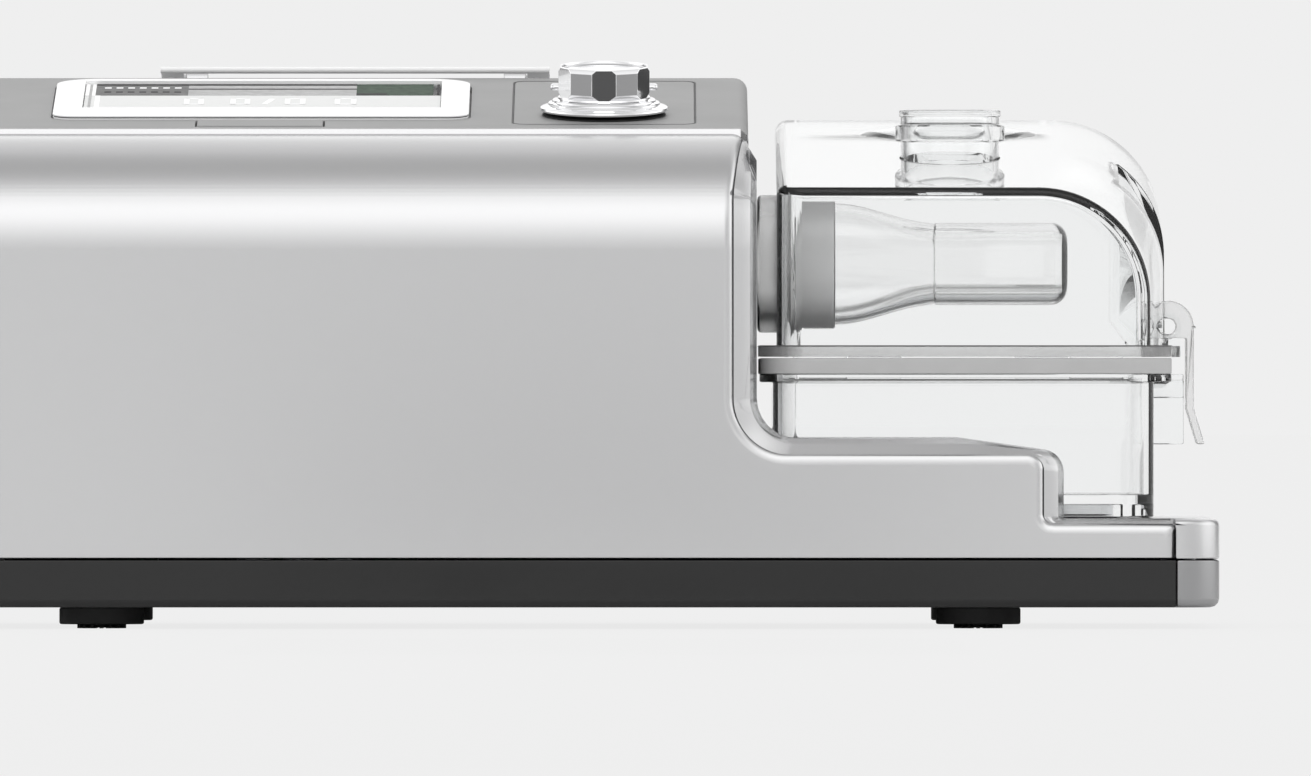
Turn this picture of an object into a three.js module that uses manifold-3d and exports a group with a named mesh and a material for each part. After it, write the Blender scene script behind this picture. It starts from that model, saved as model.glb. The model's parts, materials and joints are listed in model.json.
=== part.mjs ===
// A bedside positive-airway-pressure machine with a humidifier tank on its right.
// Millimetres, +Z up, X left to right, -Y is the front. The origin is the middle of the
// footprint, on the surface that the feet stand on.
import * as THREE from 'three';
import { mergeVertices } from 'three/addons/utils/BufferGeometryUtils.js';
import Module from 'manifold-3d';

const wasm = await Module();
wasm.setup();

// Overall sizes
const LENGTH = 281;
const DEPTH = 170;
const FOOT_HEIGHT = 4.7;
const SPLIT_Z = 15.4;
const BASE_TOP_Z = 24.3;
const RIM_Z = 42;
const WALL = 2.8;
const CLEAR = 0.3;
const PLAN_RADIUS = 10;
const ARC_STEPS = 6;

// Front face, deck and top
const BEND_Z = 83.4;
const BEND_RADIUS = 26;
const DECK_SLOPE_DEG = 7;
const REAR_TOP_LENGTH = 48.7;
const DECK_STEP = 1.1;
const DECK_THICKNESS = 3;
const DECK_SKIRT = 6.6;
const DECK_SIDE_STEP = 1.8;
const SHOULDER_DROP = 7.2;
const SHOULDER_HEIGHT = 3;
const REAR_TOP_DROP = 2.8;
const REAR_RADIUS = 25;
const EDGE_ROUND = 4.5;

// Silver fascia and black strip
const FASCIA_THICKNESS = 2.4;
const FASCIA_SIDE_BAND = 5.3;
const FASCIA_TOP_FLARE = 2.3;
const FASCIA_RIM_BAND = 3.9;
const FASCIA_BASE_BAND = 1.4;
const FASCIA_CORNER = 12.6;
const STRIP_THICKNESS = 2.2;
const STRIP_ROUND = 1.8;

// Stepped wall beside the tank
const WALL_CORNER = 8.8;
const STEP_FROM_END = 34.3;
const RIM_FALL = 3.1;
const RIM_FALL_LENGTH = 17.6;
const STEP_CORNER = 5;

// Tank: places
const TANK_LENGTH = 84;
const TANK_DEPTH = 124;
const TANK_END_GAP = 14.3;
const TANK_SIDE_GAP = 3.6;
const TANK_FRONT_WALL = 15;
const TANK_WALL = 2;
const TANK_CORNER = 6;
// Tank: heights
const TUB_HEIGHT = 31.5;
const TUB_FLOOR = 2;
const FLANGE = 1.8;
const FLANGE_OUT = 2.9;
const FLANGE_OUT_RIGHT = 4;
const SEAL = 3.5;
const LID_FLANGE = 2.5;
const LID_FRONT_HEIGHT = 34.7;
const LID_CORNER = 24.6;
const LID_SMALL_CORNER = 2.6;
const LID_SIDE_INSET = 0.8;
const LID_BULGE = 4.2;
const LID_SLOPE_DEG = 7.4;
const LID_EDGE_ROUND = 1.8;

// Air path through the tank lid
const DUCT_Z = 80.6;
const DUCT_RADIUS = 13.5;
const DUCT_WALL = 1.5;
const DUCT_SOCKET = 11;
const DUCT_FUNNEL = 22;
const DUCT_TUBE = 29.5;
const DUCT_TUBE_HEIGHT = 18.3;
const DUCT_TUBE_WIDTH = 26;
const DUCT_END_ROUND = 2.2;
const DUCT_SLOT_LENGTH = 13;
const DUCT_SLOT_FROM_END = 5;
const SEAL_BORE = 11;
const SEAL_COLLAR_RADIUS = 15.3;
const OUTLET_FROM_LEFT = 39.45;
const OUTLET_FROM_FRONT = 54;
const OUTLET_RADIUS = 10.9;
const OUTLET_BORE = 9.7;
const OUTLET_RISE = 10.6;
const OUTLET_DROP = 5;
const OUTLET_RIM = 0.4;
const OUTLET_RIM_HEIGHT = 1.6;
const OUTLET_COLLAR = 1.3;
const OUTLET_COLLAR_HEIGHT = 3.8;
const OUTLET_COLLAR_DROP = 3.4;

// Latch on the right of the lid
const LATCH_RADIUS = 5.7;
const LATCH_PIN_RADIUS = 1.5;
const LATCH_PIN_RISE = 4.3;
const LATCH_PIN_OUT = 4.0;
const LATCH_WIDTH = 12.6;
const LATCH_WALL = 1.8;
const LATCH_DROP = 26.2;
const LATCH_TAB_OUT = 2.4;
const LATCH_EAR = 2;
const LATCH_HOOK = 3.4;
const KEEPER_HEIGHT = 3.5;
const GUARD_DROP = 13.8;
const POCKET_WIDTH = 30;
const POCKET_DEPTH = 8.2;
const POCKET_SLOPE = 5.6;

// Tank hinge at the back
const HINGE_RADIUS = 3;
const HINGE_PIN_RADIUS = 1.4;
const KNUCKLE_LENGTH = 12;
const HINGE_SPREAD = 25;

// Heater
const PLATE_MARGIN = 7;
const PLATE_THICKNESS = 1.9;
const PLATE_RECESS = 0.6;
const HEATER_MARGIN = 3.5;
const HEATER_THICKNESS = 2.2;
const HEATER_CARRIER = 3;
const HEATER_LIP = 4;

// Display, button and knob, all on the deck
const DISPLAY_FROM_LEFT = 69.4;
const BEZEL_WIDTH = 92.2;
const BEZEL_FROM_BACK = 8.9;
const BEZEL_FROM_FRONT = 17.2;
const BEZEL_HEIGHT = 0.6;
const BEZEL_REBATE = 1.5;
const WINDOW_WIDTH = 79.3;
const WINDOW_FROM_FRONT = 33.5;
const WINDOW_FROM_BACK = 4.3;
const WINDOW_THICKNESS = 1.2;
const DISPLAY_CORNER = 5;
const DISPLAY_BACK_CORNER = 10;
const BUTTON_WIDTH = 27.9;
const BUTTON_LENGTH = 12;
const BUTTON_FROM_FRONT = 3.2;
const BUTTON_THICKNESS = 2.6;
const BUTTON_TRAVEL = 0.6;
const BOARD_DROP = 10;
const BOARD_THICKNESS = 1.6;
const BOARD_POST_FROM_KNOB = 16;
const BOARD_POST_RADIUS = 2.5;
const BOARD_CHIP_FROM_KNOB = 22;
const KNOB_FROM_RIGHT = 33.7;
const KNOB_FROM_FRONT = 25.6;
const KNOB_SKIRT_RADIUS = 14.2;
const KNOB_GRIP_RADIUS = 10.1;
const KNOB_SIDES = 12;
const KNOB_BASE = 0.9;
const KNOB_GRIP_BASE = 4.4;
const KNOB_HEIGHT = 11.4;
const KNOB_CHAMFER = 0.8;
const KNOB_TRAVEL = 0.5;
const INSET_WIDTH = 40;
const INSET_FROM_FRONT = 8;
const INSET_FROM_BACK = 6.9;
const INSET_THICKNESS = 1.2;
const INSET_CORNER = 3;
const INSET_LEDGE = 4;
const SHAFT_RADIUS = 3;
const SLEEVE_WALL = 1.2;
const ENCODER_SIZE = 14;
const SLEEVE_RISE = 1.3;
const SHAFT_RISE = 3;

// Handle
const HANDLE_WIDTH = 87;
const HANDLE_STRAP = 12;
const HANDLE_THICKNESS = 1.4;
const HANDLE_GAP = 2.4;
const HANDLE_RISE = 1.1;
const HANDLE_LEG = 5;
const HANDLE_REACH = 27.4;
const HANDLE_EYE_RADIUS = 2.4;
const HANDLE_PIN_RADIUS = 1.1;
const HANDLE_PIVOT_RISE = 2.6;

// Feet and screws
const FOOT_RADIUS = 9.35;
const FOOT_STEP_RADIUS = 5.3;
const FOOT_STEP = 0.9;
const FOOT_FROM_LEFT = 34.6;
const FOOT_FROM_RIGHT = 53;
const FOOT_FROM_FRONT = 22;
const SCREW_RADIUS = 1.5;
const SCREW_HEAD_RADIUS = 3;
const SCREW_HEAD = 1.8;
const SCREW_LENGTH = 14.5;
const BOSS_RADIUS = 4.5;
const BOSS_FROM_SIDE = 6.3;
const BOSS_FROM_FRONT = 27;

// Back: filter and power inlet
const FILTER_WIDTH = 46;
const FILTER_HEIGHT = 40;
const FILTER_FROM_LEFT = 48.5;
const FILTER_Z = 34.6;
const FILTER_THICKNESS = 6;
const DOOR_THICKNESS = 2.2;
const DOOR_SLATS = 7;
const DOOR_FRAME = 4;
const DOOR_PIN_RADIUS = 0.6;
const INLET_WIDTH = 12;
const INLET_HEIGHT = 9;
const INLET_DEPTH = 11;
const INLET_FROM_LEFT = 118;
const INLET_Z = 22;
const SOCKET_WIDTH = 9;
const SOCKET_HEIGHT = 6;
const SOCKET_DEPTH = 9;

// Blower and boards inside
const BLOWER_BEHIND_DUCT = 22;
const BLOWER_FROM_SIDE = 57.6;
const VOLUTE_RADIUS = 34;
const VOLUTE_HEIGHT = 26;
const VOLUTE_WALL = 2.5;
const VOLUTE_COVER = 2.2;
const VOLUTE_INLET = 13;
const IMPELLER_RADIUS = 27;
const IMPELLER_HEIGHT = 12;
const IMPELLER_BLADES = 9;
const MOTOR_RADIUS = 14;
const MOTOR_HEIGHT = 22;
const MOTOR_SHAFT_RADIUS = 2;
const MOUNT_RING = 2.5;
const CHASSIS_THICKNESS = 2.5;
const CHASSIS_HALF_X = 44;
const CHASSIS_HALF_Y = 38;
const CHASSIS_LEG = 6;
const OUTLET_DUCT_RADIUS = 10.5;
const OUTLET_DUCT_WALL = 1.5;
const MAIN_BOARD_LENGTH = 130;
const MAIN_BOARD_DEPTH = 40;
const MAIN_BOARD_FROM_LEFT = 14.8;
const MAIN_BOARD_FROM_FRONT = 13.6;
const STANDOFF = 4;
const STANDOFF_RADIUS = 3;
const STANDOFF_INSET = 5;
const CHIP_SIZE = 14;
const CHIP_HEIGHT = 5;
const HEATER_CORNER = 6;

// Places that follow from the sizes
const HALF_L = LENGTH / 2;
const FRONT_Y = -DEPTH / 2;
const BACK_Y = DEPTH / 2;
const FAR = 2 * (LENGTH + DEPTH);
const SLOPE = THREE.MathUtils.degToRad(DECK_SLOPE_DEG);
const LID_RISE = Math.tan(THREE.MathUtils.degToRad(LID_SLOPE_DEG));

const TANK_RIGHT = HALF_L - TANK_END_GAP;
const TANK_LEFT = TANK_RIGHT - TANK_LENGTH;
const BODY_RIGHT = TANK_LEFT - TANK_SIDE_GAP;
const BODY_MID = (BODY_RIGHT - HALF_L) / 2;
const TANK_FRONT = FRONT_Y + TANK_FRONT_WALL;
const TANK_BACK = TANK_FRONT + TANK_DEPTH;
const TANK_MID_Y = (TANK_FRONT + TANK_BACK) / 2;
const WELL_GAP = 1.5;
const STEP_X = HALF_L - STEP_FROM_END;

const BEND_SWEEP = Math.PI / 2 - SLOPE;
const BEND_END_Y = FRONT_Y + BEND_RADIUS * (1 - Math.cos(BEND_SWEEP));
const BEND_END_Z = BEND_Z + BEND_RADIUS * Math.sin(BEND_SWEEP);
const DECK_Y = BEND_END_Y + CLEAR;
const DECK_Z = BEND_END_Z + DECK_STEP;
const DECK_BACK_Y = BACK_Y - REAR_TOP_LENGTH;
const DECK_LENGTH = (DECK_BACK_Y - DECK_Y) / Math.cos(SLOPE);
const DECK_BACK_Z = DECK_Z + DECK_LENGTH * Math.sin(SLOPE);
const REAR_TOP_Z = DECK_BACK_Z - REAR_TOP_DROP;
const DECK_RIGHT = BODY_RIGHT - DECK_SIDE_STEP;
const DECK_LEFT = -HALF_L + DECK_SIDE_STEP;

const TANK_Z = BASE_TOP_Z + CLEAR;
const TUB_TOP_Z = TANK_Z + TUB_HEIGHT;
const SEAL_TOP_Z = TUB_TOP_Z + SEAL;
const LID_Z = SEAL_TOP_Z + CLEAR;
const LID_FLANGE_TOP = LID_Z + LID_FLANGE;
const LID_FRONT_Z = LID_FLANGE_TOP + LID_FRONT_HEIGHT;
const LID_LEFT = TANK_LEFT + LID_SIDE_INSET;
const LID_RIGHT = TANK_RIGHT - LID_SIDE_INSET;
const PLATE_TOP_Z = TANK_Z + PLATE_RECESS + PLATE_THICKNESS;
const TUB_FLOOR_Z = PLATE_TOP_Z + CLEAR + TUB_FLOOR;
const FLANGE_LEFT = TANK_LEFT - FLANGE_OUT;
const FLANGE_RIGHT = TANK_RIGHT + FLANGE_OUT_RIGHT;
const FLANGE_BACK = TANK_BACK + FLANGE_OUT;
const OUTLET_X = TANK_LEFT + OUTLET_FROM_LEFT;
const OUTLET_Y = TANK_FRONT + OUTLET_FROM_FRONT;
const OUTLET_FOOT_Z = LID_FRONT_Z + OUTLET_FROM_FRONT * LID_RISE;
const LATCH_X = TANK_RIGHT + LATCH_PIN_OUT;
const LATCH_Z = LID_FLANGE_TOP + LATCH_PIN_RISE;
const LATCH_FACE = LATCH_X + LATCH_RADIUS - LATCH_WALL;
const KEEPER_RIGHT = LATCH_FACE - 0.5;
const EAR_Y = LATCH_WIDTH / 2 + CLEAR;
const HINGE_Y = FLANGE_BACK + HINGE_RADIUS + CLEAR;
const HINGE_Z = TUB_TOP_Z + 1.9;
const TANK_MID_X = (TANK_LEFT + TANK_RIGHT) / 2;

const DISPLAY_X = -HALF_L + DISPLAY_FROM_LEFT;
const BEZEL_LENGTH = DECK_LENGTH - BEZEL_FROM_FRONT - BEZEL_FROM_BACK;
const WINDOW_LENGTH = BEZEL_FROM_FRONT + BEZEL_LENGTH - WINDOW_FROM_BACK - WINDOW_FROM_FRONT;
const INSET_LENGTH = DECK_LENGTH - INSET_FROM_FRONT - INSET_FROM_BACK;
const KNOB_X = BODY_RIGHT - KNOB_FROM_RIGHT;
const SLEEVE_RADIUS = SHAFT_RADIUS + CLEAR + SLEEVE_WALL;
const HANDLE_BAR_Y = DECK_BACK_Y + HANDLE_GAP;
const HANDLE_BAR_Z = DECK_BACK_Z + HANDLE_RISE;
const HANDLE_PIVOT_Y = HANDLE_BAR_Y + HANDLE_REACH;
const HANDLE_PIVOT_Z = REAR_TOP_Z + HANDLE_PIVOT_RISE;
const BLOWER_X = BODY_RIGHT - BLOWER_FROM_SIDE;
const BLOWER_Y = TANK_MID_Y + BLOWER_BEHIND_DUCT;
const VOLUTE_Z = DUCT_Z - VOLUTE_HEIGHT / 2;
const CHASSIS_Z = VOLUTE_Z - MOUNT_RING;
const FLOOR_Z = FOOT_HEIGHT + WALL;

// Turns a closed three.js geometry into a solid that can be joined and cut.
function toSolid(geometry) {
  const bare = geometry.clone();
  bare.deleteAttribute('normal');
  bare.deleteAttribute('uv');
  const merged = mergeVertices(bare, 1e-4);
  const corners = merged.index.array;
  const spots = merged.attributes.position;
  const triangles = [];
  const [a, b, c] = [new THREE.Vector3(), new THREE.Vector3(), new THREE.Vector3()];
  let volume = 0;
  for (let i = 0; i < corners.length; i += 3) {
    const [p, q, r] = [corners[i], corners[i + 1], corners[i + 2]];
    if (p === q || q === r || r === p) continue;
    triangles.push(p, q, r);
    volume += a.fromBufferAttribute(spots, p).dot(
      b.fromBufferAttribute(spots, q).cross(c.fromBufferAttribute(spots, r)));
  }
  if (volume < 0) triangles.reverse();
  return new wasm.Manifold(new wasm.Mesh({
    numProp: 3,
    vertProperties: Float32Array.from(spots.array),
    triVerts: Uint32Array.from(triangles),
  }));
}

function toGeometry(solid) {
  const mesh = solid.getMesh();
  const geometry = new THREE.BufferGeometry();
  geometry.setAttribute('position', new THREE.BufferAttribute(mesh.vertProperties, 3));
  geometry.setIndex(new THREE.BufferAttribute(mesh.triVerts, 1));
  geometry.computeVertexNormals();
  return geometry;
}

function join(first, ...others) {
  return others.reduce((whole, part) => whole.add(part), first);
}

function cut(first, ...others) {
  return others.reduce((whole, part) => whole.subtract(part), first);
}

function common(first, ...others) {
  return others.reduce((whole, part) => whole.intersect(part), first);
}

// A closed outline from corners [x, y, radius]; a corner with no radius stays sharp.
function outline(corners, steps = ARC_STEPS) {
  const points = [];
  corners.forEach(([x, y, radius = 0], i) => {
    const here = new THREE.Vector2(x, y);
    if (radius <= 0) {
      points.push(here);
      return;
    }
    const before = corners[(i + corners.length - 1) % corners.length];
    const after = corners[(i + 1) % corners.length];
    const back = new THREE.Vector2(before[0] - x, before[1] - y).normalize();
    const on = new THREE.Vector2(after[0] - x, after[1] - y).normalize();
    const half = Math.acos(THREE.MathUtils.clamp(back.dot(on), -1, 1)) / 2;
    const centre = back.clone().add(on).normalize().multiplyScalar(radius / Math.sin(half)).add(here);
    const start = back.clone().multiplyScalar(radius / Math.tan(half)).add(here).sub(centre);
    const end = on.clone().multiplyScalar(radius / Math.tan(half)).add(here).sub(centre);
    const sweep = Math.atan2(start.cross(end), start.dot(end));
    for (let k = 0; k <= steps; k += 1) {
      points.push(start.clone().rotateAround(new THREE.Vector2(), (sweep * k) / steps).add(centre));
    }
  });
  return points;
}

function rectangle(x0, x1, y0, y1, radius = 0, steps = ARC_STEPS) {
  return outline([[x0, y0, radius], [x1, y0, radius], [x1, y1, radius], [x0, y1, radius]], steps);
}

function circle(x, y, radius, sides = 24) {
  return Array.from({ length: sides }, (_, i) => {
    const angle = ((i + 0.5) * 2 * Math.PI) / sides;
    return new THREE.Vector2(x + radius * Math.cos(angle), y + radius * Math.sin(angle));
  });
}

// Sweeps an outline by a straight depth; round rounds both end edges.
function extruded(points, depth, round = 0, segments = 3) {
  return new THREE.ExtrudeGeometry(new THREE.Shape(points), {
    depth: depth - 2 * round,
    steps: 1,
    bevelEnabled: round > 0,
    bevelSize: round,
    bevelThickness: round,
    bevelOffset: -round,
    bevelSegments: segments,
  }).translate(0, 0, round);
}

// An outline in X and Y, swept from z0 up to z1
function upright(points, z0, z1, round = 0) {
  return toSolid(extruded(points, z1 - z0, round).translate(0, 0, z0));
}

// An outline in X and Z, swept from y0 back to y1
function alongY(points, y0, y1, round = 0) {
  return toSolid(extruded(points, y1 - y0, round).rotateX(Math.PI / 2).translate(0, y1, 0));
}

// An outline in Y and Z, swept from x0 right to x1
function alongX(points, x0, x1, round = 0) {
  const turn = new THREE.Matrix4().makeBasis(
    new THREE.Vector3(0, 1, 0), new THREE.Vector3(0, 0, 1), new THREE.Vector3(1, 0, 0));
  return toSolid(extruded(points, x1 - x0, round).applyMatrix4(turn).translate(x0, 0, 0));
}

function block(x0, x1, y0, y1, z0, z1) {
  return toSolid(new THREE.BoxGeometry(x1 - x0, y1 - y0, z1 - z0)
    .translate((x0 + x1) / 2, (y0 + y1) / 2, (z0 + z1) / 2));
}

// A turned solid from [radius, height] points, closed on the axis or on itself
function turned(points, sides = 24) {
  const profile = points.map(([radius, height]) => new THREE.Vector2(radius, height));
  profile.push(profile[0].clone());
  return new THREE.LatheGeometry(profile, sides).rotateX(Math.PI / 2);
}

function upTurned(points, x, y, sides = 24) {
  return toSolid(turned(points, sides).translate(x, y, 0));
}

function rod(radius, z0, z1, x, y, sides = 24) {
  return upTurned([[0, z0], [radius, z0], [radius, z1], [0, z1]], x, y, sides);
}

function rodAlongX(radius, x0, x1, y, z, sides = 24) {
  return alongX(circle(y, z, radius, sides), x0, x1);
}

function rodAlongY(radius, y0, y1, x, z, sides = 24) {
  return alongY(circle(x, z, radius, sides), y0, y1);
}

// A skin over equal-count rings of points, closed by a flat cap at each end
function lofted(rings) {
  const count = rings[0].length;
  const spots = rings.flat().flatMap((p) => [p.x, p.y, p.z]);
  const faces = [];
  for (let r = 0; r + 1 < rings.length; r += 1) {
    for (let i = 0; i < count; i += 1) {
      const j = (i + 1) % count;
      const [a, b] = [r * count + i, r * count + j];
      faces.push(a, b, a + count, b, b + count, a + count);
    }
  }
  const flat = (ring) => {
    const normal = new THREE.Vector3();
    ring.forEach((p, i) => normal.add(p.clone().cross(ring[(i + 1) % count])));
    const drop = Math.abs(normal.x) > Math.abs(normal.y) ? 'x' : 'y';
    return ring.map((p) => new THREE.Vector2(drop === 'x' ? p.y : p.x, p.z));
  };
  const last = (rings.length - 1) * count;
  THREE.ShapeUtils.triangulateShape(flat(rings[0]), []).forEach(([a, b, c]) => faces.push(a, c, b));
  THREE.ShapeUtils.triangulateShape(flat(rings[rings.length - 1]), [])
    .forEach(([a, b, c]) => faces.push(last + a, last + b, last + c));
  const geometry = new THREE.BufferGeometry();
  geometry.setAttribute('position', new THREE.Float32BufferAttribute(spots, 3));
  geometry.setIndex(faces);
  return toSolid(geometry);
}

// Side view of the tall body, drawn in by an inset; the deck and the rear top are flat
function sideProfile(inset, bottom, rearInset = inset) {
  const points = [new THREE.Vector2(FRONT_Y + inset, bottom)];
  const bendSteps = 8;
  for (let k = 0; k <= bendSteps; k += 1) {
    const angle = Math.PI - (BEND_SWEEP * k) / bendSteps;
    points.push(new THREE.Vector2(
      FRONT_Y + BEND_RADIUS + (BEND_RADIUS - inset) * Math.cos(angle),
      BEND_Z + (BEND_RADIUS - inset) * Math.sin(angle)));
  }
  points.push(new THREE.Vector2(DECK_BACK_Y + CLEAR, DECK_BACK_Z - DECK_STEP - inset));
  points.push(new THREE.Vector2(DECK_BACK_Y + CLEAR, REAR_TOP_Z - rearInset));
  for (let k = 0; k <= bendSteps; k += 1) {
    const angle = ((1 - k / bendSteps) * Math.PI) / 2;
    points.push(new THREE.Vector2(
      BACK_Y - REAR_RADIUS + (REAR_RADIUS - rearInset) * Math.cos(angle),
      REAR_TOP_Z - REAR_RADIUS + (REAR_RADIUS - rearInset) * Math.sin(angle)));
  }
  points.push(new THREE.Vector2(BACK_Y - rearInset, bottom));
  return points;
}

// Front view of the shell: tall body, rim beside the tank, step down at the right
function shellOutline(inset, bottom) {
  const right = BODY_RIGHT - inset;
  const step = STEP_X - inset;
  return outline([
    [-HALF_L + inset, bottom],
    [step, bottom],
    [step, RIM_Z - RIM_FALL - inset, STEP_CORNER],
    [STEP_X - STEP_CORNER - RIM_FALL_LENGTH, RIM_Z - inset],
    [right, RIM_Z - inset, WALL_CORNER + inset],
    [right, DECK_Z - SHOULDER_DROP],
    [right - DECK_SIDE_STEP, DECK_Z - SHOULDER_DROP + SHOULDER_HEIGHT],
    [right - DECK_SIDE_STEP, REAR_TOP_Z - inset, EDGE_ROUND + 0.5],
    [-HALF_L + DECK_SIDE_STEP + inset, REAR_TOP_Z - inset, EDGE_ROUND + 0.5],
    [-HALF_L + DECK_SIDE_STEP + inset, DECK_Z - SHOULDER_DROP + SHOULDER_HEIGHT],
    [-HALF_L + inset, DECK_Z - SHOULDER_DROP],
  ]);
}

// Front view of the silver fascia, grown outwards for its recess
function fasciaOutline(grow) {
  const right = BODY_RIGHT - FASCIA_SIDE_BAND + grow;
  const left = -HALF_L + FASCIA_SIDE_BAND - grow;
  const shelf = RIM_Z - FASCIA_RIM_BAND + grow;
  const low = BASE_TOP_Z - FASCIA_BASE_BAND + grow;
  const step = STEP_X - FASCIA_SIDE_BAND + 0.7 + grow;
  const end = HALF_L - PLAN_RADIUS + grow;
  const flareZ = BEND_Z + BEND_RADIUS / 2;
  return outline([
    [left, SPLIT_Z - grow],
    [end, SPLIT_Z - grow],
    [end, low, 1.1 + grow],
    [step, low, 2.2],
    [step, shelf, 3.3],
    [right, shelf, FASCIA_CORNER],
    [right, flareZ],
    [right + FASCIA_TOP_FLARE, BEND_END_Z],
    [right + FASCIA_TOP_FLARE, BEND_END_Z + BEND_RADIUS],
    [left - FASCIA_TOP_FLARE, BEND_END_Z + BEND_RADIUS],
    [left - FASCIA_TOP_FLARE, BEND_END_Z],
    [left, flareZ],
  ]);
}

// The plate that follows the front face and its roll back to the deck
function frontBand(thickness, grow, outerInset) {
  const outer = alongX(sideProfile(outerInset, -FAR), -FAR, FAR);
  const inner = alongX(sideProfile(thickness, -FAR - 1), -FAR - 1, FAR + 1);
  const face = alongY(fasciaOutline(grow), FRONT_Y - FAR, BEND_END_Y + grow);
  return common(cut(outer, inner), face, upright(planOutline(outerInset), 0, FAR));
}

function planOutline(inset, front = inset) {
  return rectangle(-HALF_L + inset, HALF_L - inset, FRONT_Y + front, BACK_Y - inset, PLAN_RADIUS - inset);
}

// Puts a deck part, made flat with its front edge at the origin, on the slope
const deckMatrix = new THREE.Matrix4()
  .makeTranslation(0, DECK_Y, DECK_Z)
  .multiply(new THREE.Matrix4().makeRotationX(SLOPE));

function deckCapOutline(grow, drop) {
  return outline([
    [DECK_LEFT - grow, -DECK_SKIRT - drop],
    [DECK_RIGHT + grow, -DECK_SKIRT - drop],
    [DECK_RIGHT + grow, grow, 3],
    [DECK_LEFT - grow, grow, 3],
  ]);
}

function onDeck(points, y0, y1) {
  const geometry = extruded(points, y1 - y0).rotateX(Math.PI / 2).translate(0, y1, 0);
  return toSolid(geometry.applyMatrix4(deckMatrix));
}

const feetAt = [
  ['front_left', -HALF_L + FOOT_FROM_LEFT, FRONT_Y + FOOT_FROM_FRONT],
  ['front_right', HALF_L - FOOT_FROM_RIGHT, FRONT_Y + FOOT_FROM_FRONT],
  ['rear_left', -HALF_L + FOOT_FROM_LEFT, BACK_Y - FOOT_FROM_FRONT],
  ['rear_right', HALF_L - FOOT_FROM_RIGHT, BACK_Y - FOOT_FROM_FRONT],
];
const screwsAt = [
  [-HALF_L + BOSS_FROM_SIDE, FRONT_Y + BOSS_FROM_FRONT],
  [HALF_L - BOSS_FROM_SIDE, FRONT_Y + BOSS_FROM_FRONT],
  [-HALF_L + BOSS_FROM_SIDE, BACK_Y - BOSS_FROM_FRONT],
  [HALF_L - BOSS_FROM_SIDE, BACK_Y - BOSS_FROM_FRONT],
];

const filterX0 = -HALF_L + FILTER_FROM_LEFT - FILTER_WIDTH / 2;
const filterX1 = filterX0 + FILTER_WIDTH;
const filterZ1 = FILTER_Z + FILTER_HEIGHT;
const doorAxisY = BACK_Y - WALL / 2;
const doorAxisZ = FILTER_Z + CLEAR + DOOR_THICKNESS / 2;
const inletX = -HALF_L + INLET_FROM_LEFT;

const boardX0 = -HALF_L + MAIN_BOARD_FROM_LEFT;
const boardX1 = boardX0 + MAIN_BOARD_LENGTH;
const boardY0 = FRONT_Y + MAIN_BOARD_FROM_FRONT;
const boardY1 = boardY0 + MAIN_BOARD_DEPTH;

const heater = {
  x0: TANK_LEFT + PLATE_MARGIN + HEATER_MARGIN,
  x1: TANK_RIGHT - PLATE_MARGIN - HEATER_MARGIN,
  y0: TANK_FRONT + PLATE_MARGIN + HEATER_MARGIN,
  y1: TANK_BACK - PLATE_MARGIN - HEATER_MARGIN,
};
const SLAB_UNDER_Z = BASE_TOP_Z - HEATER_THICKNESS;

function heaterOutline(grow) {
  return rectangle(heater.x0 - grow, heater.x1 + grow, heater.y0 - grow, heater.y1 + grow,
    HEATER_CORNER + grow);
}

function lowerShell() {
  const outer = upright(planOutline(0), FOOT_HEIGHT, SPLIT_Z + 4, 2);
  const inner = upright(planOutline(WALL, STRIP_THICKNESS + CLEAR + WALL), FLOOR_Z, FAR);
  const strip = block(-stripHalf - CLEAR, stripHalf + CLEAR,
    FRONT_Y - 1, FRONT_Y + STRIP_THICKNESS + CLEAR, -1, FAR);
  let shell = cut(outer, block(-FAR, FAR, -FAR, FAR, SPLIT_Z - CLEAR, FAR), inner, strip);
  for (const [x, y] of screwsAt) {
    shell = join(shell, rod(BOSS_RADIUS, FLOOR_Z - 1, SPLIT_Z - CLEAR, x, y, 16));
  }
  for (const [x, y] of standoffsAt) {
    shell = join(shell, rod(STANDOFF_RADIUS, FLOOR_Z - 1, FLOOR_Z + STANDOFF, x, y, 12));
  }
  for (const [x, y] of screwsAt) {
    shell = cut(shell, rod(SCREW_RADIUS + CLEAR, -1, FAR, x, y, 12),
      rod(SCREW_HEAD_RADIUS + CLEAR, -1, FOOT_HEIGHT + SCREW_HEAD + CLEAR, x, y, 16));
  }
  return shell;
}

const stripHalf = HALF_L - PLAN_RADIUS + CLEAR;
const standoffsAt = [
  [boardX0 + STANDOFF_INSET, boardY0 + STANDOFF_INSET],
  [boardX1 - STANDOFF_INSET, boardY0 + STANDOFF_INSET],
  [boardX0 + STANDOFF_INSET, boardY1 - STANDOFF_INSET],
  [boardX1 - STANDOFF_INSET, boardY1 - STANDOFF_INSET],
];

function frontStrip() {
  return alongX(outline([
    [FRONT_Y, FOOT_HEIGHT, STRIP_ROUND],
    [FRONT_Y + STRIP_THICKNESS, FOOT_HEIGHT],
    [FRONT_Y + STRIP_THICKNESS, SPLIT_Z - CLEAR],
    [FRONT_Y, SPLIT_Z - CLEAR],
  ]), -stripHalf, stripHalf);
}

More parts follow.
